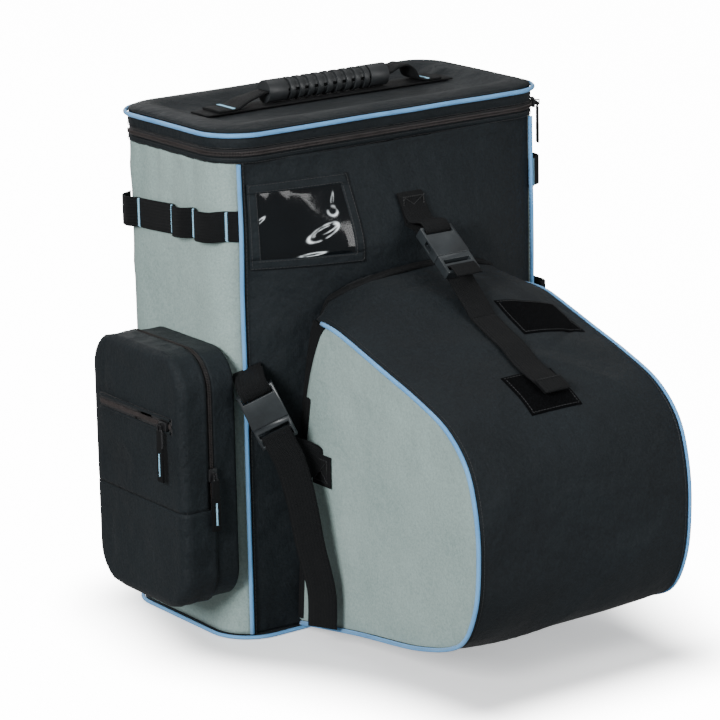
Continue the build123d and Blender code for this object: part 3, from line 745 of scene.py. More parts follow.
def mirrored(route, across, along):
    """Places and directions of an outline, each turned over or not in X and in Y."""
    turned = Vector((across, along))
    return [(spot * turned, facing * turned) for spot, facing in route]


def side_loop(side):
    """The side's stretch of that outline, from the front seam to the back seam."""
    reach = math.degrees(math.acos((seam_x - half_width + corner_radius) / corner_radius))
    flat = half_depth - corner_radius
    parts = 9
    route = []
    for part in range(parts):
        angle = math.radians(-reach + reach * part / parts)
        facing = Vector((math.cos(angle), math.sin(angle)))
        route.append((Vector((half_width - corner_radius, -flat)) + facing * corner_radius, facing))
    straight = round(2 * flat / 5.0)
    for part in range(straight + 1):
        route.append((Vector((half_width, -flat + 2 * flat * part / straight)), Vector((1, 0))))
    route += mirrored(route[parts - 1 :: -1], 1, -1)
    return mirrored(route, side, 1)


def make_sides():
    """Grey side cloths with soft waves, gathered under the band and drawn in by the webbing."""
    for name, side in both_sides:
        route = side_loop(side)

        def place(u, v):
            spot, facing = route[round(u * (len(route) - 1))]
            z = panel_bottom + v * (cloth_top - panel_bottom)
            held = math.sin(math.pi * min(max(u, 0), 1)) ** 0.5
            wave = ripple((spot.y, z, side * 40), 100.0, 3.0) * 2.4
            wave += ripple((spot.y, z * 0.6, 7), 38.0, 9.0) * 0.9
            wave += crease((spot.y * 0.6, z * 0.8, side * 17), 95.0, 2.0) * 1.6
            under = cloth_top - z
            gather = ripple((spot.y * 2.4 + spot.x, under * 0.25, side * 9), 15.0, 5.0)
            drape = ripple((spot.y * 1.5 + spot.x, under * 0.12, side * 4), 26.0, 5.0)
            pucker = gather * 4.2 * math.exp(-under / 22.0) + drape * 4.0 * math.exp(-under / 52.0)
            at_webbing = math.exp(-(((z - gear_z) / 26.0) ** 2))
            drawn = at_webbing * ripple((spot.y * 1.6, z * 0.5, 3), 17.0, 2.0)
            out = min(-1.5 + (wave * eased(under / 30.0) + drawn) * held + pucker * held, 2.2)
            return (spot.x + facing.x * out, spot.y + facing.y * out, z)

        size = len(route), 110
        piece = cloth_sheet(f"side_cloth_{name}", *size, place, 2.4, grey_cloth, flip=side < 0)
        finish_piece(piece, "bag", "grey_fabric", f"side_panel_{name}")


def make_front_and_back():
    """The black cloths between the seams; the back one follows the round corners."""

    def front(u, v):
        x = (u * 2 - 1) * (seam_x - 0.4)
        z = panel_bottom + v * (cloth_top - panel_bottom)
        return front_skin(x, z, -0.3)

    piece = cloth_sheet("front_cloth", 130, 170, front, 2.4, black_cloth)
    finish_piece(piece, "bag", "black_fabric", "front_panel")

    def back(u, v):
        x = (1 - u * 2) * (seam_x - 0.4)
        z = panel_bottom + v * (cloth_top - panel_bottom)
        bend = abs(x) - (half_width - corner_radius)
        y = half_depth
        if bend > 0:
            y = half_depth - corner_radius + math.sqrt(corner_radius**2 - bend**2)
        return (x, y - 0.6 - 0.4 * abs(ripple((x, z, 5), 60.0)), z)

    piece = cloth_sheet("back_cloth", 70, 60, back, 2.4, black_cloth)
    finish_piece(piece, "bag", "black_fabric", "back_panel")


def ring_cloth(name, section, material, thickness, wave=0.0, grow=0.0):
    """Cloth round the bag; its section is a list of (out, height) from top to bottom."""
    loop = plan_loop(grow)
    rows = len(section)

    def place(u, v):
        spot, facing = loop[round(u * len(loop)) % len(loop)]
        out, z = section[round(v * (rows - 1))]
        out += ripple((spot.x, spot.y, z * 0.8), 30.0, 6.0) * wave
        return (spot.x + facing.x * out, spot.y + facing.y * out, z)

    return cloth_sheet(name, len(loop), rows, place, thickness, material, closed=True, flip=True)


def make_bands():
    """The bag's top band and the lid's band, with their stitch lines."""
    low, high = band_low.z + 3.0, band_high.z
    section = [(-0.2, high), (0.1, high - 1.4), (0.5, high - 4)]
    section += [(0.1, low + 2.2), (-0.7, low + 0.4), (-1.3, low)]
    piece = ring_cloth("top_band_cloth", section, black_cloth, 2.0, 0.25, -0.3)
    finish_piece(piece, "bag", "black_fabric", "top_band")
    low, high = lid_band_low.z, lid_band_high.z
    middle = (low + high) / 2
    section = [(-0.5, high), (0.1, high - 2), (0.5, middle), (0.1, low + 2), (-0.6, low + 0.2)]
    piece = ring_cloth("lid_band_cloth", section, black_cloth, 2.0, 0.3, -0.3)
    finish_piece(piece, "lid", "black_fabric", "lid_band")
    loop = plan_loop(0.35, 3.0)
    ring = [spot for spot, _ in loop + loop[:1]]
    heights = band_low.z + 4.2, band_high.z - 1.0
    stitches("band_stitches", [[(spot.x, spot.y, z) for spot in ring] for z in heights])
    seam = [(spot.x, spot.y, lid_band_low.z + 1.6) for spot in ring]
    stitches("lid_band_stitches", [seam], body="lid")


def lid_reach(x, y):
    """How far a place is inside the lid's outline."""
    flat_x = half_width - corner_radius
    flat_y = half_depth - corner_radius
    over_x = max(abs(x) - flat_x, 0.0)
    over_y = max(abs(y) - flat_y, 0.0)
    if over_x or over_y:
        return corner_radius - math.hypot(over_x, over_y)
    return corner_radius + min(flat_x - abs(x), flat_y - abs(y))


# How far the padding lies below the lid's box, and the grip below its own
lid_sag = 10.0
grip_drop = lid_sag + 2.5


def make_lid_top():
    """The padded top: crowned, pulled down to its piping and under the handle's strip."""
    loop = plan_loop(-0.8)
    rings = 30
    points = []
    uvs = []
    for ring in range(rings):
        share = ring / (rings - 1)
        for spot, _ in loop:
            x = spot.x * (1 - share)
            y = spot.y * (1 - share * 0.999)
            inside = lid_reach(x, y)
            drop = 6.6 * (1 - min(inside / 34.0, 1.0)) ** 2.4
            sag = lid_sag * eased((inside - 14) / 44.0)
            z = lid_high.z - 0.5 - drop - sag
            z += (ripple((x, y, 3), 70.0, 2.0) - 0.9) * 1.1 * eased(inside / 20.0)
            strip = eased((24 - abs(y - 12)) / 10) * eased((172 - abs(x)) / 14)
            z = min(z, lid_high.z - 0.5 - (lid_sag + 0.6) * strip)
            points.append((x, y, z))
            uvs.append((x, y))
    columns = len(loop)
    faces = grid_faces(columns, rings, closed=True)
    faces.append([(rings - 1) * columns + column for column in range(columns)])
    top_count = len(points)
    for spot, _ in loop:
        points.append((spot.x * 0.97, spot.y * 0.95, lid_low.z - 5.0))
        uvs.append((spot.x, spot.y - 10))
    for column in range(columns):
        after = (column + 1) % columns
        faces.append([top_count + column, top_count + after, after, column])
    faces.append([top_count + column for column in range(columns)][::-1])
    piece = mesh_piece("lid_padded_top", points, faces, black_cloth, uvs)
    finish_piece(piece, "lid", "black_fabric", "lid_top_panel")


def make_piping():
    """Blue piping round the lid and the foot and down the two front seams."""
    low, high = corners("lid_piping")
    rim_z = (low.z + high.z) / 2
    loop = plan_loop(2.2, 5.0)
    route = []
    for spot, _ in loop:
        route.append(Vector((spot.x, spot.y, rim_z + 0.35 * ripple((spot.x, spot.y, 0), 60.0))))
    piece = tube("lid_rim_piping", route, 2.3, blue_piping, closed=True)
    finish_piece(piece, "lid", "blue_piping", "lid_piping")
    stitch_z = rim_z + 1.9 + (lid_high.z - rim_z) * 0.12
    flange = [(spot.x * 0.984, spot.y * 0.968, stitch_z) for spot, _ in loop]
    stitches("lid_rim_stitches", [flange], body="lid")
    foot = [Vector((spot.x, spot.y, 2.0)) for spot, _ in plan_loop(2.6, 6.0)]
    pieces = [tube("foot_pipe", foot, 1.9, blue_piping, closed=True)]
    for name, side in both_sides:
        x = side * (seam_x + 1.4)
        y = -seam_y - 1.9
        seam = []
        for part in range(47):
            z = panel_bottom + 1.5 + (cloth_top - panel_bottom - 2.5) * part / 46
            sway = ripple((side * 50, 0, z), 95.0, 1.0) * 2.2
            seam.append(Vector((x + sway, y - swell_at(z) * 0.012 + sway * 0.4, z)))
        pieces.append(tube(f"seam_pipe_{side}", seam, 2.2, blue_piping))
        line = [point + Vector((-side * 4.4, -swell_at(point.z) * 0.035 - 0.2, 0)) for point in seam]
        stitches(f"seam_stitches_{name}", [line], pitch=4.2)
    piece = joined("body_seam_piping", pieces)
    finish_piece(piece, "bag", "blue_piping", "body_piping")


def paint(material, *nodes):
    """Gives hard nodes that stay as they are their own finish."""
    for node in nodes:
        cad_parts[node].data.materials.clear()
        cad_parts[node].data.materials.append(material)


def make_zip():
    """Two rows of coil on the lid's zipper tapes, and the cloth hinge behind them."""
    paint(zip_tape, "lid_zip_lower", "lid_zip_upper")
    lower = corners("lid_zip_lower")
    upper = corners("lid_zip_upper")
    end_y = lower[1].y - 1
    loop = plan_loop(0.9, 2.0)
    start = next(index for index, (spot, _) in enumerate(loop) if spot.y > end_y and spot.x < 0)
    turned = loop[start:] + loop[:start]
    path = [spot for spot, _ in turned if spot.y < end_y]
    rows = (("lower", lower[1].z - 0.6, "bag"), ("upper", upper[0].z + 0.6, "lid"))
    for label, z, body in rows:
        teeth = [Vector((spot.x, spot.y, z)) for spot in path]
        bars(f"zip_coil_{label}", [teeth], zip_coil, body, 1.5, 2.4, 0.5, (0, 0, 1))
    strip_low, strip_high = corners("lid_hinge_strip")

    def place(u, v):
        x = strip_low.x - 24 + (strip_high.x - strip_low.x + 48) * (1 - u)
        z = strip_low.z + (strip_high.z - strip_low.z) * v
        bend = max(abs(x) - half_width + corner_radius, 0.0)
        y = strip_high.y - corner_radius + math.sqrt(corner_radius**2 - bend**2)
        return (x, y + 0.2 + 0.5 * math.sin(v * math.pi) + ripple((x, 0, z), 25.0) * 0.3, z)

    piece = cloth_sheet("lid_hinge_cloth", 80, 16, place, 1.0, black_cloth)
    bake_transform(piece)
    finish_piece(piece, None, "black_fabric", "lid_hinge_strip")
    start = Vector((strip_low.x + 3, strip_high.y + 0.9, strip_low.z + 2.4))
    end = Vector((strip_high.x - 3, start.y, start.z))
    stitches("hinge_stitches", [evenly(start, end, 60)])


# ---------------------------------------------------------------- flap


def flap_profile():
    """Dense stations down the flap's cover: place, outward direction and crown."""
    keys = [Vector((y, z, crown)) for y, z, crown in flap_stations]
    dense = smooth_route(keys, 7.0)
    profile = []
    for index, point in enumerate(dense):
        before = dense[max(index - 1, 0)]
        after = dense[min(index + 1, len(dense) - 1)]
        run = Vector((after.x - before.x, after.y - before.y)).normalized()
        out = Vector((0, run.y, -run.x))
        if index < 3:
            out = Vector((0, 0.34, 0.94))
        profile.append((Vector((0, point.x, point.y)), out, point.z))
    return profile


profile = flap_profile()


def cover_place(x, spot, out=0.0):
    """A place on the cover; spot counts stations down the profile."""
    low = min(int(spot), len(profile) - 2)
    mix = spot - low
    middle = profile[low][0].lerp(profile[low + 1][0], mix)
    facing = profile[low][1].lerp(profile[low + 1][1], mix).normalized()
    crown = profile[low][2] * (1 - mix) + profile[low + 1][2] * mix
    share = abs(x / flap_half)
    near_rim = max(0.0, 1 - spot / 11.0) ** 2
    rise = crown * (1 - share**2.2) - 26.0 * near_rim * share**5
    return middle + Vector((x * (1 - 0.11 * near_rim), 0, 0)) + facing * (rise + out)


def cover_skin(x, spot, out=0.0):
    """The cover's surface with its soft folds."""
    point = cover_place(x, spot)
    held = (1 - min(abs(x / flap_half), 1.0) ** 5) * eased(spot / 5) * eased((last_spot - spot) / 6)
    folds = ripple(point, 95.0, 2.0) * 3.8
    folds += ripple((x * 0.5 + point.z, point.y, point.x * 0.3), 40.0, 7.0) * 0.9
    folds += crease((x * 0.5 + point.y * 0.6, point.z * 0.8, point.y * 0.3), 110.0, 5.0) * 2.8
    arc = -262.0 + (x - 100) * 0.55 + max(0.0, x - 80) ** 2 * 0.02
    if x > 30 and point.z > 230:
        folds -= 1.8 * math.exp(-(((point.y - arc) / 3.0) ** 2)) * eased((x - 30) / 15)
    seam = 0.0
    if point.z > 250:
        seam = 1.5 * math.exp(-(((spot - 7.6 - (x / flap_half) ** 2) / 0.45) ** 2))
    return cover_place(x, spot, min((folds - 2.0) * held, 0.8) - seam * eased(5 - abs(x) / 26) + out)


def rim_spot(x):
    """Where the cover meets the bag's front, in stations."""
    for step in range(200):
        spot = step * 0.1
        point = cover_place(x, spot)
        if point.y < front_y(x, point.z) - 2.4:
            return spot
    return 20.0


last_spot = len(profile) - 1.001


def spot_at(x, y):
    """The station at which the cover's upper side reaches a place from the front."""
    for step in range(600):
        spot = step * 0.1
        if cover_place(x, spot).y <= y:
            return spot
    return last_spot


def make_flap_cover():
    """The black cover from its rim on the front down to the foot, and the binding of the edges."""
    columns = 90
    rows = 170
    starts = [rim_spot((column / (columns - 1) * 2 - 1) * flap_half) for column in range(columns)]

    def place(u, v):
        x = (u * 2 - 1) * flap_half
        spot = starts[round(u * (columns - 1))] * (1 - v) + last_spot * v
        return cover_skin(x, spot, -0.1)

    piece = cloth_sheet("flap_cover_cloth", columns, rows, place, 2.6, black_cloth, flip=True)
    finish_piece(piece, "flap", "black_fabric", "flap_cover")
    rim = []
    across = []
    for column in range(0, columns, 3):
        x = (column / (columns - 1) * 2 - 1) * flap_half
        rim.append(cover_place(x, starts[column] + 0.4, -1.0))
        across.append(cover_place(x, starts[column] + 1.2) - cover_place(x, starts[column]))
    pieces = [ribbon("rim_band", rim, across, black_webbing, 10.0, 4.2)]
    edge_widths = [8.0 + 32.0 * max(0.0, 1 - part * 2.2 / 23) ** 2 for part in range(24)]
    for side in (-1, 1):
        edge = []
        for part in range(24):
            z = rim[0].z - 4 - (rim[0].z - 18) * part / 23
            near_top = max(0.0, 1 - (rim[0].z - z) / 120) ** 2
            x = (flap_half - 1.5) * (1 - 0.11 * near_top)
            edge.append(Vector((side * x, front_y(flap_half, z) - 5.6 - 16.0 * near_top, z)))
        pieces.append(ribbon("edge_band", edge, (0, 1, 0), black_webbing, edge_widths, 3.6))
    piece = joined("flap_edge_binding", pieces)
    finish_piece(piece, "flap", "black_webbing", "flap_binding")


# Stations from the rim to the side panels' tops, and the tabs' place on those panels
side_start = 5.0
tab_y = -150
tab_z = 178


def make_flap_sides():
    """Grey side panels between the cover's edges and the front, and the piping of their seams."""
    start = rim_spot(flap_half) + side_start
    for name, side in both_sides:

        def place(u, v):
            spot = start + (last_spot - start) * v
            edge = cover_place(flap_half, spot, -0.6)
            z_top = cover_place(flap_half, start).z - 3
            z_back = z_top + (12.0 - z_top) * eased(v) * 0.35 + (12.0 - z_top) * v * 0.65
            near_top = max(0.0, 1 - (z_top - z_back) / 120) ** 2
            back = Vector((flap_half, front_y(flap_half, z_back) - 2.6 - 35.0 * near_top, z_back))
            point = edge.lerp(back, u)
            puff = math.sin(math.pi * min(u * 1.6, 1.0)) ** 0.6 * math.sin(math.pi * v) ** 0.5
            wave = ripple((point.y, point.z, side * 20), 60.0, 4.0) * 1.1 * math.sin(math.pi * u)
            tab = math.exp(-(((point.y - tab_y) / 40) ** 2) - ((point.z - tab_z) / 40) ** 2)
            x = edge.x - 1.6 + (puff * 1.5 + wave) * (1 - tab) + tab * 1.2
            return (side * min(x, edge.x + 0.3), point.y, point.z)

        piece = cloth_sheet(f"flap_side_cloth_{name}", 40, 90, place, 2.2, grey_cloth, flip=side > 0)
        finish_piece(piece, "flap", "grey_fabric", f"flap_side_panel_{name}")
    pipes = []
    lines = []
    spots = [start + (last_spot - start) * part / 110 for part in range(111)]
    for side in (-1, 1):
        route = []
        for spot in spots:
            point = cover_place(flap_half, spot, -0.8)
            route.append(Vector((side * (point.x + 1.7), point.y, point.z)))
        pipes.append(tube("flap_pipe", route, 2.2, blue_piping))
        line = []
        for spot in spots:
            point = cover_place(flap_half - 4.2, spot, 0.1)
            line.append(Vector((side * point.x, point.y, point.z)))
        lines.append(line)
    piece = joined("flap_seam_piping", pipes)
    finish_piece(piece, "flap", "blue_piping", "flap_piping")
    stitches("flap_seam_stitches", lines, body="flap")


def make_hook_patches():
    """Two patches of hook tape that follow the cover."""
    pieces = []
    lines = []
    for low_x, high_x, low_y, high_y in ((28, 106, -270, -222), (-38, 22, -366, -318)):
        top = spot_at((low_x + high_x) / 2, high_y)
        bottom = spot_at((low_x + high_x) / 2, low_y)

        def place(u, v):
            x = low_x + (high_x - low_x) * u
            rounding = 0.6 * eased(1 - min(u, 1 - u, v, 1 - v) * 18)
            return cover_skin(x, top + (bottom - top) * v, 1.0 - rounding)

        pieces.append(cloth_sheet("patch", 24, 24, place, 1.6, hook_tape, flip=True))
        line = rectangle(low_x + 3.0, high_x - 3.0, 0.05, 0.95, 12)
        lines.append([cover_skin(x, top + (bottom - top) * v, 1.1) for x, v in line])
    piece = joined("hook_tape_patches", pieces)
    finish_piece(piece, "flap", "hook_tape", "hook_patches")
    stitches("patch_stitches", lines, body="flap")


# ---------------------------------------------------------------- straps and buckles

# Where webbing runs in a buckle's side view: how far out it folds, and the two slots
fold_out = 6.6
socket_slot = 6.25
plug_slot = 52.1


def buckle_place(origin, run, facing):
    """Turns (along, out) in a buckle's side view into a place."""
    run = Vector(run).normalized()
    facing = Vector(facing)
    facing = (facing - run * facing.dot(run)).normalized()
    across = run.cross(facing)
    origin = Vector(origin)

    def place(along, out):
        return origin + run * along + facing * out

    return place, across


def make_buckle(name, bodies):
    """The socket and the plug, each on its own body."""
    for part, body in bodies:
        piece = rounded_copy(f"{name}_buckle_{part}", buckle_plastic, 0.7)
        finish_piece(piece, body, "buckle_plastic", f"{name}_buckle_{part}")


def box_stitch(middle, along, across, length, width):
    """A stitched box with its diagonals, flat on webbing."""
    half_long = Vector(along) * length / 2
    half_wide = Vector(across) * width / 2
    middle = Vector(middle)
    a, b = middle + half_long + half_wide, middle + half_long - half_wide
    c, d = middle - half_long - half_wide, middle - half_long + half_wide
    return [[a, b, c, d, a], [a, c], [b, d]]


def make_center_strap():
    """The centre strap: its buckle, the link to the cover and the webbing below; returns its anchor."""
    slope = math.radians(37.5)
    place, _ = buckle_place((0, -166, 400), (0, -math.cos(slope), -math.sin(slope)), (0, -1, 1))
    make_buckle("center", (("socket", "bag"), ("plug", "center_plug")))
    wide = (1, 0, 0)
    lying = [on_front(0, z, 1.2) for z in (431, 424, 416, 408, 402)]
    loop = [place(-9, -7.5), place(2, -6.8), place(socket_slot - 1, -5), place(socket_slot + 0.6, 0)]
    loop += [place(socket_slot - 0.6, 5.2), place(1.5, fold_out + 0.2), place(-6, fold_out - 1)]
    end = [on_front(0, 406, 9.0), on_front(0, 412, 4.5), on_front(0, 420, 3.1), on_front(0, 430, 2.9)]
    upper = ribbon("center_anchor_loop", lying + loop + end, wide, black_webbing, step=2.5)
    box = box_stitch(on_front(0, 420, 4.1), (0, 0.05, 1), wide, 16, 24)
    stitches("center_anchor_stitches", box, black_thread, pitch=2.6)
    start = [place(plug_slot + 14, 8.2), place(plug_slot + 5, fold_out + 1)]
    start += [place(plug_slot - 1, fold_out - 0.4), place(plug_slot - 1.6, 0)]
    start += [place(plug_slot + 0.4, -5.4), place(plug_slot + 7, -6.2)]
    contact = spot_at(0, -243)
    landing = cover_skin(0, contact, 2.4)
    link = ribbon("center_link_webbing", start + [landing], wide, black_webbing, step=2.5)
    tuple(landing * MM)
    tuple(place(plug_slot, 0) * MM)
    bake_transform(link)
    finish_piece(link, None, "black_webbing", "center_strap_link")
    spots = [contact + (spot_at(0, -352) - contact) * part / 10 for part in range(11)]
    lying = [cover_skin(0, spot, 2.4 + 4.0 * eased((part - 6) / 4)) for part, spot in enumerate(spots)]
    last = lying[-1]
    hem_run = (last - lying[-2]).normalized()
    turned = [last + hem_run * 2 + Vector((0, 0, 1.6)), last + Vector((0, 0, 2.6)) - hem_run * 4]
    turned.append(lying[-2] + Vector((0, 0, 3.0)) - hem_run * 2)
    lower = ribbon("center_lower_webbing", lying + turned, wide, black_webbing, step=2.5)
    finish_piece(lower, "flap", "black_webbing", "center_strap_lower")
    hem = lying[-2] + Vector((0, 0, 4.3))
    aside = Vector((12, 0, 0))
    stitches("center_hem_stitches", [[hem - aside, hem + aside]], body="flap")
    return upper


def make_side_strap(name, side):
    """One side strap: buckle, link and hanging tail; returns its anchor and its tab."""
    run = (-side * 0.34, -0.24, -0.91)
    place, across = buckle_place((side * 183, -119, 262), run, (side * 0.55, -1, 0))
    make_buckle(name, (("socket", "bag"), ("plug", f"{name}_plug")))
    seam = side * seam_x
    loop = [Vector((seam - side * 2, -seam_y - 1.2, 276)), Vector((seam + side * 3, -seam_y - 8, 275))]
    loop += [place(-8, -5.5), place(2, -6.6), place(socket_slot + 0.6, -4), place(socket_slot + 1, 3)]
    loop += [place(2, fold_out), place(-7, fold_out - 2), Vector((seam + side * 4, -seam_y - 12, 276))]
    upper = ribbon(f"{name}_anchor_loop", loop, across, black_webbing, step=2.5)
    tab_x = side * (flap_half + 2.2)
    start = [place(plug_slot + 3, fold_out - 3), place(plug_slot - 1, 3), place(plug_slot - 1, -3)]
    start += [place(plug_slot + 5, -6.4), place(plug_slot + 16, -7.0)]
    start += [Vector((side * 137, -143, 190)), Vector((tab_x + side * 1.2, tab_y, tab_z - 2))]
    link = ribbon(f"{name}_link_webbing", start, across, black_webbing, step=2.5)
    plug_end = place(plug_slot + 2, 0)
    tuple(start[-1] * MM)
    tuple(plug_end * MM)
    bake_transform(link)
    finish_piece(link, None, "black_webbing", f"{name}_strap_link")
    low, high = corners(f"{name}_strap_tail")
    foot = Vector((side * (min(abs(low.x), abs(high.x)) + 4), -172, low.z + 1.5))
    top = place(plug_slot + 3.5, fold_out + 2.4)
    hang = [place(plug_slot - 7, fold_out + 1.0), top, place(plug_slot + 26, fold_out + 6)]
    hang += [top.lerp(foot, 0.3) + Vector((-side * 4, -8, 0))]
    hang += [top.lerp(foot, 0.55) + Vector((-side * 2, -9, 0))]
    hang += [foot + Vector((side * 1.5, -2.0, 38)), foot]
    last = Vector((side * 0.55, 0.83, 0)) * (1 if across.x * side > 0 else -1)
    turn = [across] * 3 + [across.lerp(last, 0.6), across.lerp(last, 0.85), last, last]
    tail = ribbon(f"{name}_tail_webbing", hang, turn, black_webbing)
    finish_piece(tail, f"{name}_plug", "black_webbing", f"{name}_strap_tail")
    tab = [(tab_x - side * 0.9, tab_y, tab_z + 15), (tab_x - side * 0.7, tab_y, tab_z)]
    tab.append((tab_x - side * 0.7, tab_y, tab_z - 16))
    return upper, ribbon(f"{name}_tab", tab, (0, 1, 0), black_webbing)


def make_straps():
    """The three buckled straps, with their anchors and tabs joined."""
    loops = [make_center_strap()]
    tabs = []
    for name, side in both_sides:
        loop, tab = make_side_strap(name, side)
        loops.append(loop)
        tabs.append(tab)
        middle = Vector((side * (flap_half + 3.1), tab_y, tab_z))
        lines = box_stitch(middle, (0, 0, 1), (0, 1, 0), 22, 22)
        stitches(f"{name}_tab_stitches", lines, body="flap", pitch=2.8)
    finish_piece(joined("anchor_webbing", loops), "bag", "black_webbing", "strap_anchors")
    finish_piece(joined("tab_webbing", tabs), "flap", "black_webbing", "strap_tabs")


def gear_spot(side, along, rise=0.0):
    """A place round the side at a distance along it; zero is the middle of the side."""
    flat = half_depth - corner_radius
    turn = corner_radius + 1.3
    if abs(along) <= flat:
        return Vector((side * (half_width + 1.3 + rise), along, 0)), Vector((side, 0, 0))
    angle = (abs(along) - flat) / turn
    way = 1 if along > 0 else -1
    facing = Vector((side * math.cos(angle), way * math.sin(angle), 0))
    middle = Vector((side * (half_width - corner_radius), way * flat, 0))
    return middle + facing * (turn + rise), facing


def gear_sag(along):
    """The strip hangs a little lower towards the back."""
    return 2.0 + 9.0 * eased((along + 100) / 190)


def make_gear_loops():
    """Webbing along each side that is tacked down at stops and stands up between them."""
    tacks = [-88.4, -46.0, -8.0, 52.0, 91.0]
    bulges = [9.0, 9.0, 0.6, 7.0]
    low, high = corners("gear_loops")
    height = (low.z + high.z) / 2
    pieces = []
    lines = []
    for side in (-1, 1):
        stops = [(-101.5, 0.0), (-96.0, 0.0)]
        for start, end, bulge in zip(tacks, tacks[1:], bulges):
            for share in (0.05, 0.3, 0.5, 0.7, 0.95):
                rise = bulge * math.sin(math.pi * share) ** 0.7 if 0.1 < share < 0.9 else 0.2
                stops.append((start + (end - start) * share, rise))
        stops.append((92.5, 0.0))
        route = []
        for along, rise in stops:
            lift = Vector((0, 0, height - gear_sag(along)))
            route.append(gear_spot(side, along, rise)[0] + lift)
        pieces.append(ribbon("gear_strip", route, (0, 0, 1), black_webbing, step=2.0))
        for tack in tacks[:-1]:
            line = []
            for aside, up in zigzag(1.6):
                spot, _ = gear_spot(side, tack + aside, 0.9)
                line.append(spot + Vector((0, 0, height - gear_sag(tack) + up)))
            lines.append(line)
    finish_piece(joined("gear_loop_webbing", pieces), "bag", "black_webbing", "gear_loops")
    bars("gear_loop_tacks", lines, blue_thread, "bag", 0.8, 2.4, 0.45, (0, 1, 0))


# ---------------------------------------------------------------- handle


def make_handle():
    """Carry handle: a moulded grip on webbing that is tacked to a strip along the lid."""
    grip = rounded_copy("handle_grip", grip_rubber, 0.5)
    for vertex in grip.data.vertices:
        vertex.co.z -= grip_drop * MM
    finish_piece(grip, "handle", "grip_rubber", "handle_grip")
    grip_low, grip_high = corners("handle_grip")
    axis_z = (grip_low.z + grip_high.z) / 2 - grip_drop
    low, high = corners("handle_base_strip")
    y = (low.y + high.y) / 2
    bed = high.z - 0.8 - lid_sag
    flat = bed + 2.2
    half = grip_high.x
    strip = [(x, y, bed) for x in (low.x, low.x * 0.4, 0, high.x * 0.4, high.x)]
    piece = ribbon("handle_base_webbing", strip, (0, 1, 0), black_webbing)
    finish_piece(piece, "lid", "black_webbing", "handle_base_strip")
    side_view = [(-136, flat), (-124, flat), (-113, flat + 0.5), (-100, flat + 5.5)]
    side_view += [(-88, axis_z - 2.5), (-half - 4, axis_z), (-half + 8, axis_z), (0, axis_z)]
    side_view += [(half - 8, axis_z), (half + 4, axis_z + 1.5), (half + 13, axis_z + 6)]
    side_view += [(half + 23, axis_z + 7), (half + 31, axis_z + 1), (half + 35, flat + 4)]
    side_view += [(half + 43, flat + 0.4), (136, flat)]
    route = [Vector((x, y, z)) for x, z in side_view]
    widths = [30, 30, 30, 27, 22, 18, 17, 17, 17, 18, 22, 26, 29, 30, 30, 30]
    strap = ribbon("handle_webbing", route, (0, 1, 0), black_webbing, widths, 2.4, 3.0)
    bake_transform(strap)
    finish_piece(strap, None, "black_webbing", "handle_strap")
    lines = []
    for x in (-118.0, 120.0):
        lines.append([Vector((x + aside, y + along, flat + 1.5)) for aside, along in zigzag(1.4)])
    bars("handle_tacks", lines, blue_thread, "lid", 0.8, 2.2, 0.42, (1, 0, 0))


# ---------------------------------------------------------------- window


def make_window():
    """A clear card window with a cloth border, and the card film's creases with painted highlights
    along them.
    """
    low, high = corners("id_window_frame")
    film_low, film_high = corners("id_window_film")
    left, right, bottom, top = low.x + 0.5, high.x, low.z, high.z
    border = 10.0
    strips = []
    bars_at = [
        (left, right, top - border, top),
        (left, right, bottom, bottom + border),
        (left, left + border, bottom + border - 1, top - border + 1),
        (right - border, right, bottom + border - 1, top - border + 1),
    ]
    for x0, x1, z0, z1 in bars_at:
        columns = max(8, int((x1 - x0) / 4))
        rows = max(8, int((z1 - z0) / 4))

        def place(u, v, x0=x0, x1=x1, z0=z0, z1=z1):
            x = x0 + (x1 - x0) * u
            z = z0 + (z1 - z0) * v
            rounding = 0.7 * eased(1 - min(x - x0, x1 - x, z - z0, z1 - z) / 2.0)
            return front_skin(x, z, 2.4 - rounding)

        strips.append(cloth_sheet("window_strip", columns, rows, place, 1.8, black_cloth))
    piece = joined("window_border", strips)
    finish_piece(piece, "bag", "black_fabric", "id_window_frame")

    def crinkled(x, z):
        """How strongly the film is creased at a place: a few bent rings and short lines. The same
        values place the film's painted highlights.
        """
        total = 0.0
        for mid_x, mid_z, long, short, tilt, thick in (
            (-101, 405, 17, 5.5, 0.42, 0.10),
            (-99, 407, 13, 2.6, 0.36, 0.16),
            (-88, 424, 5.0, 4.2, 0.3, 0.22),
            (-86, 433, 6.5, 1.2, 1.2, 0.3),
            (-113, 385, 10, 1.3, 0.1, 0.3),
            (-158, 421, 4.5, 1.2, 0.7, 0.35),
        ):
            along = (x - mid_x) * math.cos(tilt) + (z - mid_z) * math.sin(tilt)
            across = (z - mid_z) * math.cos(tilt) - (x - mid_x) * math.sin(tilt)
            ring = math.hypot(along / long, across / short)
            broken = 0.55 + ripple((x, z, mid_x), 7.0, 3.0) * 1.6
            total += math.exp(-(((ring - 1) / thick) ** 2)) * max(0.0, broken)
        return min(total, 1.0)

    def film(u, v):
        x = film_low.x - 1 + (film_high.x - film_low.x + 2) * u
        z = film_low.z - 1 + (film_high.z - film_low.z + 2) * v
        held = eased(min(u, 1 - u, v, 1 - v) * 7)
        fold = ripple((x * 0.8 + z * 0.5, z * 0.9, 31), 60.0, 2.0) * 0.8 + crinkled(x, z) * 0.9
        return front_skin(x, z, 1.2 + (0.8 + fold) * held)

    piece = cloth_sheet("window_film", 150, 110, film, 0.5, window_film)
    # Stores the crease strength for the film's material, which paints near-white highlights along the
    # creases.
    layer = piece.data.attributes.new("painted_crease_highlight", "FLOAT", "POINT")
    for vertex in piece.data.vertices:
        layer.data[vertex.index].value = crinkled(vertex.co.x / MM, vertex.co.z / MM)
    finish_piece(piece, "bag", "clear_film", "id_window_film")
    lines = []
    for inset in (1.6, border - 1.6):
        line = rectangle(left + inset, right - inset, bottom + inset, top - inset, 20)
        lines.append([front_skin(x, z, 2.5) for x, z in line])
    stitches("window_stitches", lines)


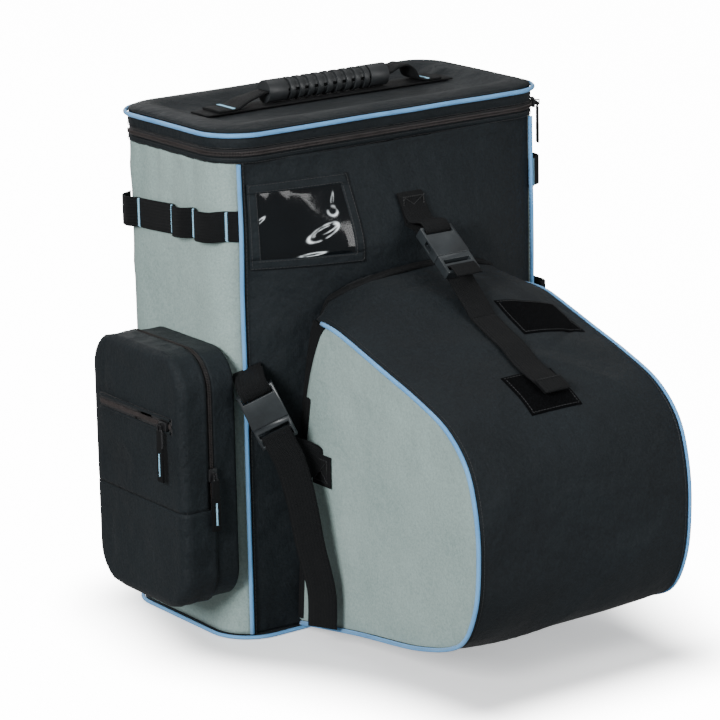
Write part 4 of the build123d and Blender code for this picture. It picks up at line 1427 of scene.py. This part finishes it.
# ---------------------------------------------------------------- pockets


pocket_radius = 36.0


def pouch(
    name, side, low, high, radius, near, far, material, to_top, edge=4.5, wrinkle=2.4, groove=None
):
    """A cloth pocket: a face with rounded corners and the gusset that carries it back to the bag."""
    rows = max(10, int((high.z - low.z) / 4))
    columns = 44
    points = []
    uvs = []
    for row in range(rows):
        z = low.z + (high.z - low.z) * row / (rows - 1)
        end = high.z - z if to_top else z - low.z
        inset = corner_inset(end, radius)
        y0 = low.y + inset
        y1 = high.y - inset
        for column in range(columns):
            y = y0 + (y1 - y0) * (column / (columns - 1))
            inside = min(y - y0, y1 - y, end)
            drop = edge * (1 - min(inside / 9.0, 1.0)) ** 2.2
            soft = ripple((y, z, side * 30), 60.0, 3.0)
            soft += ripple((y * 0.6, z, 8), 26.0, 5.0) * 0.5
            fold = crease((y * 0.7, z * 0.8, side * 13), 85.0, 6.0) * 1.2
            out = far - 0.4 - drop - abs(soft * wrinkle - fold) * eased(inside / 22.0)
            if to_top:
                out -= 1.1 * math.exp(-(((inside - 23.0) / 1.6) ** 2)) * eased((z - 236.0) / 20.0)
            if groove and abs(z - groove) < 11:
                out = min(out, far - 0.9)
            hem = 0.8 * eased((low.z + 5.0 - z) / 5.0) if to_top else 0.0
            points.append((side * (out - hem), y, z))
            uvs.append((y, z))
    ring = [row * columns for row in range(rows)]
    right = [row * columns + columns - 1 for row in range(rows)]
    across = list(range(columns))
    if to_top:
        edge_ring = ring + [(rows - 1) * columns + c for c in across[1:-1]] + right[::-1]
    else:
        edge_ring = ring[::-1] + across[1:-1] + right
    faces = grid_faces(columns, rows, flip=side > 0)
    steps = 8
    before = edge_ring
    rim = [points[index] for index in edge_ring]
    middle = (low + high) / 2
    for depth in range(1, steps + 1):
        share = depth / steps
        current = []
        for x, y, z in rim:
            out = abs(x) + (near - abs(x)) * share
            pull = 1.0 - 3.0 * abs(ripple((y, z, out), 24.0, 4.0)) * math.sin(math.pi * share)
            inward = Vector((middle.y - y, middle.z - z)).normalized() * (1 - pull) * 1.2
            current.append(len(points))
            points.append((side * out, y + inward.x, z + inward.y))
            uvs.append((y, z + out - near))
        for spoke in range(len(before) - 1):
            quad = [before[spoke], before[spoke + 1], current[spoke + 1], current[spoke]]
            same = (side < 0) == to_top
            faces.append(quad if same else quad[::-1])
        before = current
    piece = mesh_piece(name, points, faces, material, uvs)
    return thicken(piece, 2.2)


def pocket_outline(grow=0.0, step=4.0):
    """The left pocket's side view from its front at hinge height over the top to its back."""
    low, high = corners("pocket_cover")
    radius = pocket_radius
    route = [Vector((low.y - grow, z)) for z in (low.z, low.z + 20)]
    while route[-1].y < high.z - radius - step:
        route.append(Vector((low.y - grow, route[-1].y + step)))
    for part in range(13):
        angle = math.radians(180 - 90 * part / 12)
        middle = Vector((low.y + radius, high.z - radius))
        route.append(middle + Vector((math.cos(angle), math.sin(angle))) * (radius + grow))
    back = [Vector((high.y + low.y - point.x, point.y)) for point in route[::-1]]
    flat = round((back[0].x - route[-1].x) / step)
    across = [route[-1].lerp(back[0], part / flat) for part in range(1, flat)]
    return route + across + back


def make_left_pocket():
    """The side pocket: lower pouch, gusset, hinged cover, its two zips and their stitches."""
    cover_low, cover_high = corners("pocket_cover")
    shell_low, shell_high = corners("pocket_lower_shell")
    gusset_low, gusset_high = corners("pocket_gusset")
    zip_low, zip_high = corners("pocket_face_zip")
    near = -cover_high.x
    far = -cover_low.x
    groove = (zip_low.z + zip_high.z) / 2
    shape = pocket_radius, near, far, black_cloth
    piece = pouch("pocket_cover_cloth", -1, cover_low, cover_high, *shape, True, groove=groove)
    finish_piece(piece, "pocket_front", "black_fabric", "pocket_cover")
    shape = pocket_radius, -shell_high.x, far, black_cloth
    piece = pouch("pocket_lower_cloth", -1, shell_low, shell_high, *shape, False)
    finish_piece(piece, "bag", "black_fabric", "pocket_lower_shell")
    upper = pocket_outline()
    lower = [Vector((point.x, gusset_low.z + gusset_high.z - point.y)) for point in upper[::-1]]
    loop = upper + [point for point in lower if point.y < upper[0].y - 2]
    x0 = -gusset_high.x
    x1 = -gusset_low.x
    columns = len(loop)
    middle = Vector(((gusset_low.y + gusset_high.y) / 2, (gusset_low.z + gusset_high.z) / 2))

    def place(u, v):
        point = loop[round(u * columns) % columns]
        inward = (middle - point).normalized()
        out = x0 + (x1 - x0) * v
        pull = 1.6 * math.sin(math.pi * v) * (0.5 + ripple((point.x, point.y, 3), 20.0, 2.0))
        pull += 0.9 * (1 - v) ** 3
        spot = point + inward * max(pull, 0.0)
        return (-out, spot.x, spot.y)

    size = columns, 10
    piece = cloth_sheet("pocket_gusset_cloth", *size, place, 2.0, black_cloth, closed=True, flip=False)
    finish_piece(piece, "bag", "black_fabric", "pocket_gusset")
    paint(zip_tape, "pocket_zip_inner", "pocket_zip_outer", "pocket_face_zip")
    route = pocket_outline(1.2, 3.0)
    inner_x = corners("pocket_zip_inner")[0].x + 0.4
    outer_x = corners("pocket_zip_outer")[1].x - 0.4
    for label, x, body in (("inner", inner_x, "bag"), ("outer", outer_x, "pocket_front")):
        teeth = [Vector((x, point.x, point.y)) for point in route]
        bars(f"pocket_coil_{label}", [teeth], zip_coil, body, 1.6, 2.0, 0.45, (1, 0, 0))
    face = zip_low.x - 0.2
    start = face, zip_low.y + 2, groove
    end = face, zip_high.y - 2, groove
    line = [Vector(point) for point in evenly(start, end, 40)]
    bars("face_coil", [line], zip_coil, "pocket_front", 1.5, 4.6, 0.5, (0, 0, 1))
    for label, z in (("upper", zip_high.z - 1.6), ("lower", zip_low.z + 1.6)):
        welt = []
        for _, y, _ in line:
            welt.append(Vector((face - 0.1, y, z + 0.5 * ripple((y, z, 0), 30.0))))
        piece = tube(f"face_zip_welt_{label}", welt, 1.5, black_cloth, sides=8)
        finish_piece(piece, "pocket_front", "black_fabric")
    outline = pocket_outline(0.3)
    seams = [[Vector((-x, point.x, point.y)) for point in outline] for x in (far - 3.2, near + 1.6)]
    stitches("pocket_edge_stitches", seams, body="pocket_front")


def make_slip_pocket():
    """The open pocket on the right side, with a webbing hem."""
    low, high = corners("slip_pocket")
    hem_low, hem_high = corners("slip_pocket_hem")
    piece = pouch("slip_pocket_cloth", 1, low, high, 20.0, low.x, high.x, black_cloth, False, 4.0, 2.2)
    finish_piece(piece, "bag", "black_fabric", "slip_pocket")
    start_y = hem_low.y
    z = (hem_low.z + hem_high.z) / 2
    route = [(hem_low.x + 1.0, start_y), (hem_high.x - 3.5, start_y + 4)]
    route.append((hem_high.x - 0.8, start_y + 16))
    end = [(x, -y) for x, y in route[::-1]]
    for part in range(1, 8):
        sag = 1.0 + 1.4 * math.sin(math.pi * part / 8)
        route.append((hem_high.x - sag, start_y + 16 + (hem_high.y - start_y - 32) * part / 8))
    route = [Vector((x, y, z)) for x, y in route + end]
    piece = ribbon("slip_pocket_hem_webbing", route, (0, 0, 1), black_webbing, 16.0, 2.0)
    finish_piece(piece, "bag", "black_webbing", "slip_pocket_hem")


def make_sliders():
    """Each zip's slider and its pull: a metal link and a webbing tab with two blue tacks."""
    pulls = (
        ("lid_rear", (1, 0, 0), 20.0),
        ("lid_front", (0.866, -0.5, 0), 20.0),
        ("pocket_face", (-1, 0, 0), 34.0),
        ("pocket_side", (0, -1, 0), 34.0),
    )
    for name, facing, tab in pulls:
        slider = f"{name}_slider"
        pull = f"{name}_pull"
        facing = Vector(facing)
        finish_piece(rounded_copy(slider, slider_metal, 0.5), slider, "zip_slider", slider)
        low, high = corners(pull)
        piece = rounded_copy(pull, slider_metal, 0.5, black_webbing, low.z + tab)
        finish_piece(piece, pull, "pull_tab", pull)
        middle = (low + high) / 2
        line = []
        for share in (0.18, 0.82):
            line.append(Vector((middle.x, middle.y, low.z + tab * share)) + facing * 1.25)
        wide = Vector((0, 0, 1)).cross(facing)
        bars(f"{name}_tab_stitch", [line], blue_thread, pull, 0.9, 1.6, 0.45, wide)


# ---------------------------------------------------------------- back


def inflate(piece, reach, pressure=4.0):
    """Fills a padded piece with air for a moment, so that its faces crown and its edges round."""
    remesh = piece.modifiers.new("even", "REMESH")
    remesh.mode = "VOXEL"
    remesh.voxel_size = 5.0 * MM
    applied(piece)
    before = [vertex.co.copy() for vertex in piece.data.vertices]
    cloth = piece.modifiers.new("air", "CLOTH")
    cloth.settings.use_pressure = True
    cloth.settings.uniform_pressure_force = pressure
    cloth.settings.effector_weights.gravity = 0.0
    cloth.settings.quality = 5
    scene = bpy.context.scene
    for number in range(1, 21):
        scene.frame_set(number)
    applied(piece)
    for vertex, start in zip(piece.data.vertices, before):
        shift = vertex.co - start
        if shift.length > reach * MM:
            vertex.co = start + shift.normalized() * reach * MM
    scene.frame_set(1)
    smoother = piece.modifiers.new("even", "SUBSURF")
    smoother.levels = 1
    smoother.render_levels = 1
    applied(piece)
    for polygon in piece.data.polygons:
        polygon.use_smooth = True
    return piece


def pad(name, low, high, radius, material, edge, parts=(30, 40)):
    """A closed flat-backed pad with a crowned outer face, standing on the back (+Y)."""
    columns, rows = parts
    middle = (low + high) / 2
    half_x = (high.x - low.x) / 2
    half_z = (high.z - low.z) / 2
    front = []
    back = []
    for row in range(rows):
        z = (row / (rows - 1) * 2 - 1) * half_z
        end = half_z - abs(z)
        inset = corner_inset(end, radius)
        for column in range(columns):
            x = (column / (columns - 1) * 2 - 1) * (half_x - inset)
            inside = min(end, half_x - inset - abs(x))
            drop = (high.y - low.y) * 0.55 * (1 - min(inside / edge, 1.0)) ** 2
            front.append((middle.x + x, high.y - drop, middle.z + z))
            back.append((middle.x + x, low.y, middle.z + z))
    points = front + back
    count = len(front)
    faces = grid_faces(columns, rows, flip=True)
    faces += [[index + count for index in face][::-1] for face in grid_faces(columns, rows, flip=True)]
    ring = list(range(columns)) + [row * columns + columns - 1 for row in range(1, rows)]
    ring += [(rows - 1) * columns + column for column in range(columns - 2, -1, -1)]
    ring += [row * columns for row in range(rows - 2, 0, -1)]
    for index, start in enumerate(ring):
        end = ring[(index + 1) % len(ring)]
        faces.append([start, end, end + count, start + count])
    return mesh_piece(name, points, faces, material, [(x, z) for x, _, z in points])


def channel(piece, lines, depth, width):
    """Sews channels into a pad: each line is a fixed height (z) or place across (x)."""
    for vertex in piece.data.vertices:
        place = vertex.co / MM
        for axis, at, low_y in lines:
            away = (place.z if axis == "z" else place.x) - at
            if place.y > low_y:
                vertex.co.y -= depth * MM * math.exp(-((away / width) ** 2))
    return piece


def make_back():
    """The padded back with its channels, the two shoulder straps and their webbing."""
    low, high = corners("back_pad")
    inner = Vector((3, 0, 3))
    far = high - inner - Vector((0, 0.6, 0))
    piece = pad("back_pad_mesh", low + inner, far, 30.0, pad_mesh, 26.0, (90, 120))
    heights = [low.z + (high.z - low.z) * share for share in (0.25, 0.5, 0.75)]
    channel(piece, [("z", height, low.y + 3) for height in heights], 3.4, 5.0)
    finish_piece(piece, "bag", "black_fabric", "back_pad")
    webbing = []
    straps = []
    yoke_z = 447
    strap_low, strap_high = corners("shoulder_straps")
    back_y = strap_low.y
    for side in (-1, 1):
        middle = side * 75
        low = Vector((middle - 27.5, back_y, strap_low.z + 1.5))
        high = Vector((middle + 27.5, strap_high.y - 1.4, strap_high.z - 1.5))
        strap = pad("strap_pad", low, high, 16.0, black_cloth, 16.0, (26, 90))
        inflate(strap, 1.6, 3.0)
        channel(strap, [("x", middle + edge, back_y + 2) for edge in (-22.5, 22.5)], 1.8, 2.0)
        straps.append(strap)
        route = [(middle, back_y + 1.2, 117), (side * 76, back_y + 1.6, 108)]
        route += [(side * 86, back_y + 1.3, 96), (side * 125, back_y + 1.2, 41)]
        webbing.append(ribbon("lower_strap", route, (1, 0, 0), black_webbing, 25.0))
    piece = joined("shoulder_strap_pads", straps)
    finish_piece(piece, "bag", "black_fabric", "shoulder_straps")
    yoke = [(-102, back_y + 1.6, yoke_z), (0, back_y + 1.9, yoke_z), (102, back_y + 1.6, yoke_z)]
    webbing.append(ribbon("yoke", yoke, (0, 0, 1), black_webbing, 33.0, 2.6))
    finish_piece(joined("back_webbing_straps", webbing), "bag", "black_webbing", "back_webbing")
    locks = rounded_copy("strap_adjusters", buckle_plastic, 0.6)
    finish_piece(locks, "bag", "buckle_plastic", "strap_adjusters")
    y = back_y + 3.3
    heights = yoke_z - 12.5, yoke_z + 12.5
    lines = [evenly((-100, y, z), (100, y, z), 40) for z in heights]
    stitches("yoke_stitches", lines)


def make_base():
    """The black foot, and the finish of the boards inside."""
    piece = rounded_copy("base_panel", black_cloth, 1.2)
    finish_piece(piece, "bag", "black_fabric", "base_panel")
    paint(board_plastic, "stiffener_boards")


# ---------------------------------------------------------------- stage


def make_stage():
    """A bright floor with a painted soft shadow round the bag, a white surround and four lamps."""
    floor = bpy.data.meshes.new("floor")
    reach = 30.0
    spots = [(x, y, 0) for x, y in rectangle(-reach, reach, -reach, reach, 1)]
    floor.from_pydata(spots, [], [(0, 1, 2, 3)])
    finish = Finish("studio_floor", roughness=0.85, specular_ior_level=0.1, emission_strength=14.0)
    place = finish.place()
    x, y, _ = finish.parts(place)
    # Painted shadow: the floor's glow falls towards near black close to the bag's footprint.
    reaches = []
    for half_x, middle, half_y in ((0.16, 0.0, 0.065), (0.105, -0.25, 0.125)):
        beside = (x.math("ABSOLUTE") - half_x).math("MAXIMUM", 0.0)
        before = ((y - middle).math("ABSOLUTE") - half_y).math("MAXIMUM", 0.0)
        reaches.append((beside * beside + before * before).math("SQRT"))
    away = reaches[0].math("SMOOTH_MIN", reaches[1])
    speck = finish.grain(place, 3.0)
    shadow = (away * 8.0).math("MINIMUM", 1.0).math("MAXIMUM", 0.0)
    painted_shadow_glow = shadow * shadow * (3.0 - shadow * 2.0) * 0.97 + speck * 0.03
    finish.set("Base Color", finish.blend(speck, (0.97, 0.97, 0.97, 1.0), (0.99, 0.99, 0.99, 1.0)))
    # Painted shadow: near-black emission beside the bag, white further away.
    finish.set("Emission Color", finish.blend(painted_shadow_glow, (0.02, 0.021, 0.022, 1.0), (1.0, 1.0, 1.0, 1.0)))
    floor.materials.append(finish.material)
    ground = placed("floor", floor)
    ground.location.z = -0.0006
    ground.visible_diffuse = False
    ground.visible_glossy = False
    world = bpy.data.worlds.new("studio")
    world.use_nodes = True
    background = world.node_tree.nodes["Background"]
    background.inputs["Color"].default_value = (1.0, 1.0, 1.0, 1.0)
    background.inputs["Strength"].default_value = 0.4
    bpy.context.scene.world = world
    lamps = [
        ("key", (-3.0, -1.5, 1.7), 1.1, 165.0),
        ("fill", (1.2, -3.4, 1.1), 1.6, 62.0),
        ("top", (0.2, 0.2, 3.0), 1.8, 22.0),
        ("rear", (0.6, 3.0, 1.6), 2.0, 26.0),
    ]
    for name, spot, size, power in lamps:
        lamp = bpy.data.lights.new(name, "AREA")
        lamp.size = size
        lamp.energy = power
        holder = placed(name, lamp)
        holder.location = spot
        aim = Vector((0, -0.1, 0.25)) - Vector(spot)
        holder.rotation_euler = aim.to_track_quat("-Z", "Y").to_euler()


def make_camera():
    """A long lens on the bag's front and left side, a little above it."""
    right = (0.80699, -0.59027, -0.01891)
    up = (0.16997, 0.20147, 0.96465)
    back = (-0.56559, -0.78166, 0.26291)
    lens = bpy.data.cameras.new("camera")
    lens.sensor_width = 36.0
    lens.lens = 174.43
    lens.shift_x = -0.0161
    lens.shift_y = -0.0046
    camera = placed("camera", lens)
    turn = Matrix((right, up, back)).transposed().to_4x4()
    camera.matrix_world = Matrix.Translation((-1.9796, -2.7958, 1.1702)) @ turn
    bpy.context.scene.camera = camera


make_camera()
make_stage()
make_base()
make_sides()
make_front_and_back()
make_bands()
make_lid_top()
make_piping()
make_zip()
make_flap_cover()
make_flap_sides()
make_hook_patches()
make_straps()
make_gear_loops()
make_handle()
make_window()
make_left_pocket()
make_slip_pocket()
make_sliders()
make_back()
